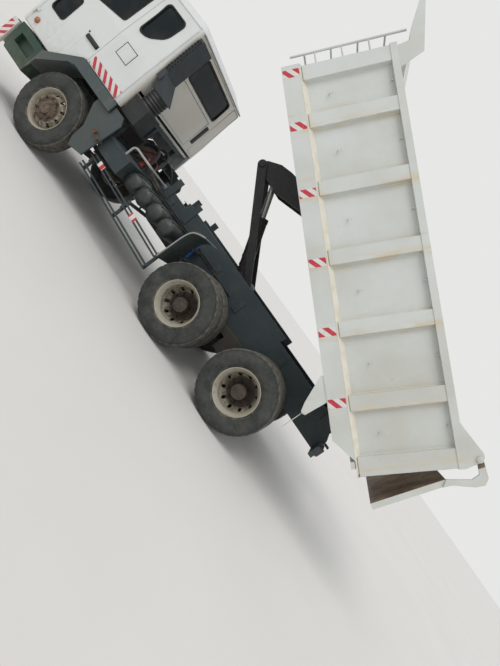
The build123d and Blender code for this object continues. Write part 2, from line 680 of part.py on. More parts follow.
bed_front = bed_length - 24
rib_first = 385.0
beam_width = 80.0
long_beam_low = 150.0
rib_face = bed_half_width - 8
bay = (2300.0, 4200.0)
lug_y = (hinge_bracket[1] + moving_gap, hinge_bracket[1] + moving_gap + 30)
ribs_at = [rib_first + i * rib_pitch for i in range(rib_count)]
wing = (
    (rail_half_width - 5, floor_bottom - beam_depth), (bed_half_width - sheet - seat_gap,
                                                       floor_bottom - beam_depth),
    (bed_half_width - sheet - seat_gap, skirt_height - 13), (inner_half + 10, floor_bottom - 4),
    (rail_half_width - 5, floor_bottom),
)
with BuildPart(bed_plane) as bed_floor:
    block((-bed_overhang, bed_front - sheet - seat_gap), (-inner_half + seat_gap, inner_half - seat_gap),
          (floor_bottom, floor_level))
    for distance in [-300.0, hinge_along] + ribs_at[1:] + [bed_front - 70]:
        beam = (distance - beam_width / 2, distance + beam_width / 2)
        for side in (1, -1):
            plate([(side * y, n) for y, n in wing], bed_section(beam[0]), beam_width)
        if not bay[0] < distance < bay[1]:
            block(beam, (-rail_half_width, rail_half_width), (floor_bottom - beam_depth, floor_bottom))
    for side in (1, -1):
        outer = side * (rail_half_width - 2)
        long_beam = sorted((outer, outer - side * 80))
        block((-bed_overhang + 60, bed_front - 60), long_beam, (long_beam_low, floor_bottom))
        lug = sorted(side * y for y in lug_y)
        outline = ((-55, -42), (55, -42), (90, floor_bottom - beam_depth), (-90, floor_bottom - beam_depth))
        plate([(hinge_along + a, n) for a, n in outline], bed_side_plane(lug[1]), lug[1] - lug[0])
        pin = sorted((side * (rail_half_width + 4), side * lug_y[1]))
        cross_bar(hinge_along, 0, pin, hinge_pin_dia / 2)
write(bed_floor, "bed_floor")

# Bed sides: sheet, ribs, top rail, skirt with its sloping ledge, and the gate's hinge plate
skirt_section = (
    (inner_half, ledge_top), (bed_half_width, skirt_height), (bed_half_width, 0), (bed_half_width - sheet, 0),
    (bed_half_width - sheet, skirt_height - 5), (inner_half, ledge_top - 10),
)
skirt_notch = ((0, -1), (-250, 221), (-460, 221), (-460, -1))
hinge_plate = (
    (60, side_top), (-8, 1417), (-296, 1574), (-345, 1574), (-385, 1545), (-bed_overhang, 1374),
    (-bed_overhang, rail_low + 20),
    (60, rail_low + 20),
)
posts = [(distance, rib_width) for distance in ribs_at]
posts += [(-bed_overhang + 120, 236.0), (bed_front - 106, 212.0)]
gate_pin_dia = 44.0
plate_y = bed_half_width - 14
for side, mark in ((1, "left"), (-1, "right")):
    with BuildPart() as bed_side:
        low, high = sorted((side * inner_half, side * (inner_half + sheet)))
        outline = ((-bed_overhang, floor_bottom), (bed_front, floor_bottom), (bed_front, side_top),
                   (-bed_overhang, side_top))
        plate(outline, bed_side_plane(high), high - low)
        base = inner_half + sheet
        for distance, width in posts:
            post = ((-width / 2, base), (-width / 2 + 12, rib_face), (width / 2 - 12, rib_face),
                    (width / 2, base))
            origin = bed_point(distance, ledge_top - 12)
            plane = Plane(origin=(origin[0], 0, origin[1]), x_dir=along, z_dir=upward)
            plate([(a, side * y) for a, y in post], plane, rail_low - ledge_top + 12)
        low, high = sorted((side * inner_half, side * bed_half_width))
        rail = ((-bed_overhang, rail_low), (bed_front + 8, rail_low), (bed_front + 8, side_top),
                (-bed_overhang, side_top))
        plate(rail, bed_side_plane(high), high - low)
        section = [(side * y, n) for y, n in skirt_section]
        plate(section, bed_section(-bed_overhang), bed_length + bed_overhang)
        low, high = sorted((side * (bed_half_width - 2 * sheet), side * (bed_half_width + sheet)))
        plate(skirt_notch, bed_side_plane(high), high - low, mode=Mode.SUBTRACT)
        low, high = sorted((side * (plate_y - 2), side * (plate_y + 14)))
        plate(hinge_plate, bed_side_plane(high), high - low)
        pivot = bed_point(*gate_pivot)
        cross_bar(*pivot, sorted((side * (plate_y - 50), side * (plate_y + 24))), gate_pin_dia / 2)
    write(bed_side, f"bed_side_{mark}")

# Front wall, carried on over the cab as a canopy between two side gussets
headboard = (
    (bed_front - sheet, floor_bottom), (bed_front, floor_bottom), (bed_front, side_top + seat_gap),
    (bed_front - sheet, side_top + seat_gap),
)
canopy_tip = bed_front + canopy_reach
canopy = (
    (bed_front - sheet, side_top + seat_gap), (bed_front, side_top + seat_gap), (bed_front, 1400),
    (4540, 1540), (4680, 1575),
    (canopy_tip, 1813), (canopy_tip - 4, 1822), (4677, 1584), (4532, 1548), (bed_front - sheet, 1402),
)
gusset = (
    (4228, side_top + seat_gap), (4369, 1684), (canopy_tip - 10, 1830), (canopy_tip - 4, 1822), (4677, 1584),
    (4532, 1548), (bed_front - sheet, 1402), (bed_front - sheet, side_top + seat_gap),
)
wall_ribs = (-700.0, 0.0, 700.0)
with BuildPart() as bed_front_wall:
    half = inner_half - seat_gap
    plate(headboard, bed_side_plane(half), 2 * half)
    canopy_half = inner_half + 2 * sheet
    plate(canopy, bed_side_plane(canopy_half), 2 * canopy_half)
    for y in (canopy_half, -canopy_half + sheet):
        plate(gusset, bed_side_plane(y), sheet)
    for y in wall_ribs:
        rib = ((bed_front, floor_level), (bed_front + 50, floor_level), (bed_front + 50, 1390),
               (bed_front, 1400))
        plate(rib, bed_side_plane(y + 50), 100)
    for n in (500.0, 980.0):
        rail = ((bed_front, n), (bed_front + 36, n + 10), (bed_front + 36, n + 70), (bed_front, n + 80))
        plate(rail, bed_side_plane(half - 40), 2 * half - 80)
write(bed_front_wall, "bed_front_wall")

# Ladder stood off the front wall on its rungs
ladder_y = (inner_half - 372, inner_half - 62)
ladder_at = bed_front + 215
ladder_reach = (120.0, 1540.0)
rungs = (300.0, 630.0, 960.0, 1290.0)
with BuildPart(bed_plane) as bed_ladder:
    for y in ladder_y:
        with Locations((ladder_at, y, sum(ladder_reach) / 2)):
            Cylinder(15, ladder_reach[1] - ladder_reach[0])
        for n in (rungs[0], rungs[1], rungs[2]):
            with Locations(Plane(origin=((ladder_at + bed_front + seat_gap) / 2, y, n + 130),
                                 z_dir=(1, 0, 0))):
                Cylinder(11, ladder_at - bed_front - seat_gap)
    for n in rungs:
        cross_bar(ladder_at, n, ladder_y, 12)
write(bed_ladder, "bed_ladder")

# Mud flaps on plates below the skirt
flap_foot = ((429, -2), (314, -270), (363, -310), (461, -252), (738, -31))
flap_reach = 340.0
flap_inner_y = bed_half_width - 610
with BuildPart() as mud_flaps:
    for side in (1, -1):
        for y, top in ((bed_half_width - sheet - seat_gap - 12, 150.0),
                       (flap_inner_y, floor_bottom - seat_gap)):
            low, high = sorted((side * y, side * (y + 12)))
            plate(((738, top), (429, top)) + flap_foot, bed_side_plane(high), high - low)
        low, high = sorted((side * flap_inner_y, side * (bed_half_width - 10)))
        plate(((322, -285), (352, -308), (362, -296), (332, -272)), bed_side_plane(high), high - low)
        top = bed_point(345, -296)
        hang = (top[0] - 4, top[0] + 4)
        block(hang, sorted((side * (flap_inner_y + 20), side * (bed_half_width - 50))),
              (top[1] - flap_reach, top[1]))
write(mud_flaps, "mud_flaps")

# Tailgate, hung from its two top pivots and swung open under its own weight
gate_low = 265.0
gate_high = 1120.0
gate_face = -(bed_overhang + gate_gap) - gate_pivot[0]
gate_half = inner_half + 28
gate_tilt = bed_angle - gate_open
gate_along = (cos(radians(gate_tilt)), 0, sin(radians(gate_tilt)))
gate_up = (-sin(radians(gate_tilt)), 0, cos(radians(gate_tilt)))
gate_x, gate_z = bed_point(*gate_pivot)
gate_plane = Plane(origin=(gate_x, 0, gate_z), x_dir=gate_along, z_dir=gate_up)
gate_arm_y = (plate_y - 44, plate_y - 14)
bottom, top = gate_low - gate_pivot[1], gate_high - gate_pivot[1]


def gate_side_plane(y):
    """The gate's side view at y, about its pivot. What is extruded grows to the right."""
    return Plane(origin=(gate_x, y, gate_z), x_dir=gate_along, z_dir=(0, -1, 0))


gate_arm = (
    (gate_face, top + 5), (gate_face - gate_thickness, top - 60), (gate_face - gate_thickness - 10, top + 40),
    (-262, -150), (-275, -48), (-215, 12), (-30, 34), (20, 30), (34, 0), (20, -30), (-30, -34), (-150, -60),
    (-176, -150),
)
with BuildPart(gate_plane) as tailgate:
    block((gate_face - sheet, gate_face), (-gate_half, gate_half), (bottom, top))
    back = (gate_face - gate_thickness, gate_face - sheet)
    for n in (bottom, top - 110):
        block(back, (-gate_half, gate_half), (n, n + 110))
    for i in range(5):
        y = (i - 2) * (gate_half - 60) / 2
        block(back, (y - 60, y + 60), (bottom, top))
    block(back, (-gate_half, gate_half), ((bottom + top) / 2 - 45, (bottom + top) / 2 + 45))
    for side in (1, -1):
        low, high = sorted(side * y for y in gate_arm_y)
        plate(gate_arm, gate_side_plane(high), high - low)
        cross_bar(0, 0, (low - 1, high + 1), gate_pin_dia / 2 + seat_gap, mode=Mode.SUBTRACT)
write(tailgate, "tailgate")

# Scissor hoist
knee_x, knee_z = from_axle(knee)[0]
eye_x, eye_z = from_axle(rod_eye)[0]
tail_x, tail_z = bed_point(*lever_tail)


def tapered_bar(start, end, radii, y_range):
    """A flat bar between two round ends, in the side view."""
    run = hypot(end[0] - start[0], end[1] - start[1])
    across = ((start[1] - end[1]) / run, (end[0] - start[0]) / run)
    edge = []
    for point, radius, sign in ((start, radii[0], 1), (end, radii[1], 1), (end, radii[1], -1),
                                (start, radii[0], -1)):
        edge.append((point[0] + sign * radius * across[0], point[1] + sign * radius * across[1]))
    plate(edge, side_plane(y_range[1]), y_range[1] - y_range[0])
    for point, radius in ((start, radii[0]), (end, radii[1])):
        cross_bar(*point, y_range, radius)


with BuildPart() as hoist_arm:
    for side in (1, -1):
        tapered_bar((arm_x, arm_z), (knee_x, knee_z), (54.0, 70.0), sorted(side * y for y in arm_y))
    cross_bar(arm_x, arm_z, (-arm_y[0], arm_y[0]), 58)
    cross_bar(arm_x, arm_z, (-arm_y[1] - 1, arm_y[1] + 1), pin_dia / 2 + seat_gap, mode=Mode.SUBTRACT)
    cross_bar(knee_x, knee_z, (-arm_y[1], arm_y[1]), pin_dia / 2)
write(hoist_arm, "hoist_arm")

lever_outline = from_axle(
    (2640, 2520), (2575, 2600), (2400, 2715), (2218, 2760), (1700, 2828), (1640, 2836), (1604, 2812),
    (1600, 2775), (1691, 2520),
    (2110, 2405), (2560, 2435), (2640, 2460),
)
with BuildPart() as hoist_lever:
    for side in (1, -1):
        low, high = sorted(side * y for y in lever_y)
        plate(lever_outline, side_plane(high), high - low)
    cover = from_axle((2400, 2715), (2218, 2760), (2090, 2779), (2088, 2767), (2215, 2748), (2396, 2703))
    plate(cover, side_plane(lever_y[0]), 2 * lever_y[0])
    cross_bar(knee_x, knee_z, (-lever_y[0], lever_y[0]), 55)
    cross_bar(knee_x, knee_z, (-lever_y[1] - 1, lever_y[1] + 1), pin_dia / 2 + seat_gap, mode=Mode.SUBTRACT)
    for side in (1, -1):
        cross_bar(eye_x, eye_z, sorted((side * 60, side * lever_y[0])), pin_dia / 2)
        cross_bar(tail_x, tail_z, sorted((side * (lever_y[0] - 6), side * (lever_y[1] + 3))), 38)
write(hoist_lever, "hoist_lever")

stroke = hypot(eye_x - base_x, eye_z - base_z)
thrust = ((eye_x - base_x) / stroke, 0, (eye_z - base_z) / stroke)
cylinder_plane = Plane(origin=(base_x, 0, base_z), x_dir=(0, 1, 0), z_dir=thrust)
rod_back = 500.0
with BuildPart(cylinder_plane) as hoist_cylinder:
    with Locations((0, 0, 60)):
        Cylinder(barrel_dia / 2, barrel_length, align=(Align.CENTER, Align.CENTER, Align.MIN))
    with Locations((0, 0, 60 + barrel_length - 50)):
        Cylinder(collar_dia / 2, 50, align=(Align.CENTER, Align.CENTER, Align.MIN))
    with Locations((0, 0, 100)):
        Cylinder(rod_dia / 2 + seat_gap, barrel_length, align=(Align.CENTER, Align.CENTER, Align.MIN),
                 mode=Mode.SUBTRACT)
    with Locations(Plane(origin=(0, 0, 0), z_dir=(1, 0, 0))):
        Cylinder(65, barrel_dia)
        Cylinder(pin_dia / 2 + seat_gap, barrel_dia + 2, mode=Mode.SUBTRACT)
write(hoist_cylinder, "hoist_cylinder")

with BuildPart(cylinder_plane) as hoist_rod:
    with Locations((0, 0, rod_back)):
        Cylinder(rod_dia / 2, stroke - rod_back - 50, align=(Align.CENTER, Align.CENTER, Align.MIN))
    with Locations(Plane(origin=(0, 0, stroke), z_dir=(1, 0, 0))):
        Cylinder(65, 104)
        Cylinder(pin_dia / 2 + 4, 120, mode=Mode.SUBTRACT)
write(hoist_rod, "hoist_rod")

with BuildPart(bed_plane) as hoist_bed_lugs:
    tail_lug = (lever_y[1] + moving_gap, lever_y[1] + moving_gap + 22)
    for side in (1, -1):
        low, high = sorted(side * y for y in tail_lug)
        outline = ((-40, -36), (40, -36), (110, floor_bottom - lever_tail[1] - seat_gap),
                   (-110, floor_bottom - lever_tail[1] - seat_gap))
        plate([(lever_tail[0] + a, lever_tail[1] + n) for a, n in outline], bed_side_plane(high), high - low)
        boss = sorted((side * (tail_lug[0] - 3), side * (tail_lug[1] + 20)))
        cross_bar(lever_tail[0], lever_tail[1], boss, pin_dia / 2)
write(hoist_bed_lugs, "hoist_bed_lugs")

# Cab skin as (z, rear x, front x, half width, corner radius), lengths from front_zero
cab_sections = (
    (cab_bottom, 4040.0, 6110.0, 1175.0, 110.0),
    (1960.0, 4060.0, 6110.0, 1175.0, 110.0),
    (2830.0, 4095.0, 5740.0, 1110.0, 100.0),
    (2950.0, 4330.0, 5480.0, 880.0, 60.0),
)


def cab_body(inset):
    """The cab's outer form, drawn in by an inset on all sides but the open base."""
    last = len(cab_sections) - 1
    with BuildPart() as body:
        faces = []
        for i, (z, rear, front, half, corner) in enumerate(cab_sections):
            height = z - (inset if i == last else 0)
            with BuildSketch(Plane.XY.offset(height)) as level:
                with Locations((front_zero + (rear + front) / 2, 0)):
                    RectangleRounded(front - rear - 2 * inset, 2 * (half - inset), corner - inset)
            faces.append(level.sketch)
        loft(sections=faces, ruled=True)
    return body.part


arch_cut = from_front((3900, 900), (3900, arch_top), (4860, arch_top), (5325, cab_bottom), (5325, 900))
door_outline = ((door_rear, arch_top + 2), (front_zero + 4864, arch_top + 2),
                (front_zero + 5332, cab_bottom + 2),
                (door_front, cab_bottom + 2), (door_front, 1960), (front_zero + 5668, 2775),
                (front_zero + 4890, 2775),
                (door_rear, 2700))
door_window = from_front((4930, 2067), (5453, 1964), (5860, 1884), (5893, 1990), (5612, 2700), (4975, 2700),
                        (4930, 2640))
kerb_window = from_front((5560, 1379), (5895, 1379), (5895, 1800), (5560, 1807))
quarter_window = from_front((4308, 2708), (4762, 2715), (4735, 2500), (4730, 2135), (4527, 2165),
                            (4320, 2363))
rear_window = ((-660, 2335), (660, 2335), (640, 2740), (-640, 2740))
windscreen = ((-1040, 2010), (1040, 2010), (975, 2740), (-975, 2740))
cab_half = cab_sections[0][3]
door_hinge = (door_front - 5, cab_half + 18)
hinge_levels = (1150.0, 1800.0)
knuckle_height = 45.0
knuckle_radius = 12.0
door_pin_radius = 7.0
pillar_leaf = ((0, -6), (0, 6), (20, 6), (50, -16), (50, -32), (8, -32), (8, -6))
door_leaf = ((0, -6), (0, 6), (-12, 6), (-55, -12), (-55, -22), (-8, -22))
skin = cab_body(0) - cab_body(cab_wall)
glass_band = cab_body(glass_recess) - cab_body(glass_recess + glass_thickness)


def hinge_leaf(outline, side, z):
    """One knuckle of a door hinge with its leaf, standing on z."""
    x, y = door_hinge
    plate([(x + a, side * (y + b)) for a, b in outline], Plane.XY.offset(z), knuckle_height)
    with Locations((x, side * y, z + knuckle_height / 2)):
        Cylinder(knuckle_radius, knuckle_height)


def hinge_pin(side, z, height, radius, mode=Mode.ADD):
    """An upright pin on a door's hinge line."""
    with Locations((door_hinge[0], side * door_hinge[1], z + height / 2)):
        Cylinder(radius, height, mode=mode)


def across(outline, side, mode=Mode.SUBTRACT, margin=0):
    """A prism through one side wall of the cab."""
    low, high = sorted((side * 900, side * (cab_half + 50)))
    plate(outline, side_plane(high), high - low, mode, margin)


with BuildPart() as cab_shell:
    add(skin)
    plate(arch_cut, side_plane(1300), 2600, mode=Mode.SUBTRACT)
    rear_wall_x = (front_zero + 3990, front_zero + 4120)
    block(rear_wall_x, (-cab_half + 110, cab_half - 110), (900, cab_floor + 40), mode=Mode.SUBTRACT)
    for side in (1, -1):
        across(quarter_window, side)
    plate(rear_window, Plane.YZ.offset(front_zero + 3990), 200, mode=Mode.SUBTRACT)
    plate(windscreen, Plane.YZ.offset(front_zero + 5650), 600, mode=Mode.SUBTRACT)
    inside = cab_half - cab_wall
    floor_profile = from_front(
        (4100, cab_floor - floor_thickness), (4840, cab_floor - floor_thickness),
        (4840, step_floor - floor_thickness),
        (6066, step_floor - floor_thickness), (6066, step_floor), (4880, step_floor), (4880, cab_floor),
        (4100, cab_floor),
    )
    plate(floor_profile, side_plane(inside + 1), 2 * inside + 2)
    for side in (1, -1):
        across(door_outline, side)
    for side in (1, -1):
        low = rail_half_width + cab_ear + moving_gap
        ear = sorted((side * low, side * (low + cab_ear)))
        outline = ((-45, -35), (66, -35), (66, 70), (-45, 45))
        plate([(cab_pivot[0] + x, cab_pivot[1] + z) for x, z in outline], side_plane(ear[1]), ear[1] - ear[0])
        cross_bar(*cab_pivot, ear, cab_pin_dia / 2 + seat_gap, mode=Mode.SUBTRACT)
        for z in hinge_levels:
            hinge_leaf(pillar_leaf, side, z)
            hinge_pin(side, z, 2 * knuckle_height + moving_gap, door_pin_radius)
write(cab_shell, "cab_shell")

with BuildPart() as cab_glass:
    for side in (1, -1):
        across(quarter_window, side, mode=Mode.ADD)
    plate(rear_window, Plane.YZ.offset(front_zero + 3990), 200)
    plate(windscreen, Plane.YZ.offset(front_zero + 5650), 600)
    add(glass_band, mode=Mode.INTERSECT)
write(cab_glass, "cab_glass")

mirror_at = (front_zero + 5960, 1330.0, 2130.0)
behind_mirror = ((cab_half - 200, 1800), (cab_half, 1800), (cab_half, cab_sections[1][0]),
                 (cab_sections[2][3], cab_sections[2][0]), (cab_half - 200, cab_sections[2][0]))
for side, mark in ((1, "left"), (-1, "right")):
    with BuildPart() as door:
        across(door_outline, side, Mode.ADD, door_gap)
        add(skin, mode=Mode.INTERSECT)
        across(door_window, side)
        across(kerb_window, side)
        handle = sorted((side * (cab_half - 2), side * (cab_half + 26)))
        block((front_zero + 4890, front_zero + 5130), handle, (1545, 1580))
        for z in hinge_levels:
            hinge_leaf(door_leaf, side, z + knuckle_height + moving_gap)
            hinge_pin(side, z, 3 * knuckle_height, door_pin_radius + seat_gap, mode=Mode.SUBTRACT)
    write(door, f"door_{mark}")
    with BuildPart() as mirrors:
        x, y, z = mirror_at
        for near, level in ((x, z - 200), (x - 205, z + 310)):
            round_bar((near, side * (cab_half - 60), level), (x, side * y, level), 11)
        round_bar((x, side * y, z - 215), (x, side * y, z + 325), 14)
        with Locations((x + 10, side * (y + 20), z + 60)):
            Box(80, 210, 400)
        plate([(side * y_wall, z) for y_wall, z in behind_mirror], Plane.YZ.offset(front_zero + 5700), 320,
              mode=Mode.SUBTRACT)
    write(mirrors, f"mirror_{mark}")
    with BuildPart() as door_glass:
        across(door_window, side, mode=Mode.ADD)
        across(kerb_window, side, mode=Mode.ADD)
        add(glass_band, mode=Mode.INTERSECT)
    write(door_glass, f"door_glass_{mark}")

# Grille slats, lamps and bars on the cab's front
front_x = front_zero + cab_sections[0][2]
with BuildPart() as cab_front:
    for i in range(9):
        z = 1120 + 70 * i
        slat = ((front_x, z), (front_x + 26, z - 12), (front_x + 26, z + 14), (front_x, z + 26))
        plate(slat, side_plane(640), 1280)
    for y in (-640, -20, 600):
        block((front_x, front_x + 16), (y, y + 40), (1100, 1720))
    for y in (-450, 450):
        block((front_x, front_x + 45), (y - 8, y + 8), (1930, 1955))
write(cab_front, "cab_front")

# Trim over the front wheels, between the cab and the chassis
arch_drop = moving_gap + 2
arch_trim = from_front(
    (5325 - arch_drop, cab_bottom - arch_drop), (4860 - arch_drop / 2, arch_top - arch_drop),
    (4000, arch_top - arch_drop), (3993, 1197),
    (4868, 1190), (4972, 1142), (5334, 794), (5366, 524),
    (5368, 950),
)
with BuildPart() as wheel_arches:
    plate(arch_trim, side_plane(1232), 26)
    lip = from_front(
        (4000, 1197), (4868, 1190), (4972, 1142), (5334, 794), (5340, 700), (5352, 702), (5346, 800),
        (4980, 1156), (4872, 1204), (4000, 1211),
    )
    plate(lip, side_plane(1210), 380)
    for x_near, z in ((4200.0, 1211.0), (4780.0, 1206.0)):
        x = front_zero + x_near
        block((x - 20, x + 20), (rail_half_width + seat_gap, 1100), (z - 2, z + 40))
        block((x - 20, x + 20), (rail_half_width + seat_gap, rail_half_width + 40), (900, z + 40))
    mirror(about=Plane.XZ)
write(wheel_arches, "wheel_arches")

# Intake duct up the cab's left rear corner, with a honeycomb in its outer face
duct = ((3965.0, 4050.0), (785.0, 1120.0), (duct_bottom, 2740.0))
neck_x = front_zero + (duct[0][0] + duct[0][1]) / 2
cell_pitch = 36.0
with BuildPart() as snorkel:
    block([front_zero + x for x in duct[0]], duct[1], (duct[2][0] + 120, duct[2][1]))
    with BuildSketch(Plane.XY.offset(duct[2][0])) as mouth:
        with Locations((front_zero + bellows_at[0], bellows_at[1])):
            Rectangle(240, 290)
    with BuildSketch(Plane.XY.offset(duct[2][0] + 240)) as neck:
        with Locations((neck_x, sum(duct[1]) / 2)):
            Rectangle(duct[0][1] - duct[0][0], duct[1][1] - duct[1][0])
    loft(sections=[mouth.sketch, neck.sketch], ruled=True)
    with BuildSketch(side_plane(duct[1][1])) as cells:
        for row in range(13):
            shift = cell_pitch / 4 if row % 2 else -cell_pitch / 4
            for column in (-0.5, 0.5):
                with Locations((neck_x + column * cell_pitch + shift, 2150 + row * 0.87 * cell_pitch)):
                    RegularPolygon(cell_pitch / 2 - 2, 6, rotation=30)
    extrude(cells.sketch, amount=14, mode=Mode.SUBTRACT)
    for z in (2150.0, 2600.0):
        wall_x = front_zero + 4060 + (z - 1960) * 35 / 870
        block((front_zero + duct[0][1] - 20, wall_x), (840, 1060), (z, z + 30))
write(snorkel, "snorkel")

# Seats, dashboard and steering wheel
seat_y = 560.0
with BuildPart() as cab_interior:
    for side in (1, -1):
        x = front_zero + 5000
        seat = ((x, step_floor + seat_gap), (x + 420, step_floor + seat_gap), (x + 500, 1800),
                (x + 480, 1880), (x + 60, 1850),
                (x - 60, 2480), (x - 170, 2470), (x - 60, 1780))
        plate(seat, side_plane(side * seat_y + 240), 480)
    dash = from_front((5760, 1560), (6060, 1560), (6040, 1980), (5900, 1990), (5740, 1880))
    plate(dash, side_plane(1050), 2100)
    leg = from_front((5830, step_floor + seat_gap), (5960, step_floor + seat_gap), (5960, 1570), (5830, 1570))
    plate(leg, side_plane(180), 360)
    wheel_plane = Plane(origin=(front_zero + 5640, seat_y, 2020), z_dir=(-0.5, 0, 0.866))
    with Locations(wheel_plane):
        Torus(225, 15)
        Box(440, 40, 14)
        Cylinder(60, 30)
    with Locations(wheel_plane.offset(-110)):
        Cylinder(28, 210)
write(cab_interior, "cab_interior")
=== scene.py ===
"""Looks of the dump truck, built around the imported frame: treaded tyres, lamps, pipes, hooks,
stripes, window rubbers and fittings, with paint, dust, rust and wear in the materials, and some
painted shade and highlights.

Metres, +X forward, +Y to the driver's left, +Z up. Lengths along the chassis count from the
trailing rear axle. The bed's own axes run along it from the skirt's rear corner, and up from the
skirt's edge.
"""

from math import cos, pi, radians, sin, sqrt

import bmesh
import bpy
from mathutils import Matrix, Vector


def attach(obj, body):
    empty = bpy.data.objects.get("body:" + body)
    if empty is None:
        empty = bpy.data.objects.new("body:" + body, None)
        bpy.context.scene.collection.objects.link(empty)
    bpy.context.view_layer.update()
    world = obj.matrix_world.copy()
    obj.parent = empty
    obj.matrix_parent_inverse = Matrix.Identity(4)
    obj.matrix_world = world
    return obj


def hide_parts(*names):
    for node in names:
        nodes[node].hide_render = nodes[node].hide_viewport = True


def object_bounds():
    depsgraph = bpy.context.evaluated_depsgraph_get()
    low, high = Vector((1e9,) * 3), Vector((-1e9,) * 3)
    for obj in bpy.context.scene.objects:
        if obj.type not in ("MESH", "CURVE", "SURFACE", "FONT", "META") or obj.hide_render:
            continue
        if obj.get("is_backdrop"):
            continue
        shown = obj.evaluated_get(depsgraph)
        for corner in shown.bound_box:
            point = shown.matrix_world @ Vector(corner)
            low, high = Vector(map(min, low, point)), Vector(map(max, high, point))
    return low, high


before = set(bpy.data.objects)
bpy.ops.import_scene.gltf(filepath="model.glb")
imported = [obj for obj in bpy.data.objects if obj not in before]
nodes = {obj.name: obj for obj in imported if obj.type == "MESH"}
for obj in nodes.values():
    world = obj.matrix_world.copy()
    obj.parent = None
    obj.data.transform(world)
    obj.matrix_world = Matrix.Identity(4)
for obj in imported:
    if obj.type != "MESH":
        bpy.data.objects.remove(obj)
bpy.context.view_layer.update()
scene = bpy.context.scene

AXLE = -1.9463
MIDDLE_AXLE = AXLE + 1.33
FRONT_AXLE = AXLE + 4.66
HUB_HEIGHT = 0.53
RAIL = 0.43
# The cab's walls lean in above its shoulder, by so much for each metre up
CAB_HALF, CAB_BACK, CAB_FRONT = 1.175, 4.06, 6.11
SIDE_LEAN, BACK_LEAN, FRONT_LEAN = 0.0747, 0.0402, 0.4253
SHOULDER_Z = 1.96
SIDES = ((1, "left"), (-1, "right"))

BED_TILT = radians(27.7)
HINGE = Vector((AXLE - 0.99, 0, 1.195))
BED_TURN = Matrix.Rotation(-BED_TILT, 4, "Y")
BED_ORIGIN = HINGE - BED_TURN @ Vector((0.1, 0, 0))
BED = Matrix.Translation(BED_ORIGIN) @ BED_TURN
BED_HALF = 1.25
SHEET_Y = 1.18
# The bed's faces, in its own axes: inside of the side sheets and of the front wall, underside of
# the canopy, top of the floor, and the crust on the skirt's ledge. The gate's is from its pivot
SHEET_INSIDE, WALL_INSIDE, CANOPY, FLOOR_TOP, LEDGE = 1.1725, 4.505, 1.385, 0.2515, 0.262
GATE_INSIDE = -0.0935
# Ribs of the sides: middle of the first one, their step, half of a foot, and the gap between feet
FIRST_RIB, RIB_STEP, RIB_FOOT, RIB_GAP = 0.385, 0.85, 0.09, 0.67
RIBS, RUN_OFF_END = 5, 4.45
GATE_TILT = radians(27.7 - 13.2)
GATE_PIN = (-0.356, 1.526)
GATE_PIVOT = BED @ Vector((GATE_PIN[0], 0, GATE_PIN[1]))


def spot(x, y, z):
    """A point given from the trailing axle."""
    return Vector((AXLE + x, y, z))


# Materials

# Sockets of the mix node that carry colours, which are found by number only
COLOUR_1, COLOUR_2, MIXED = 6, 7, 2


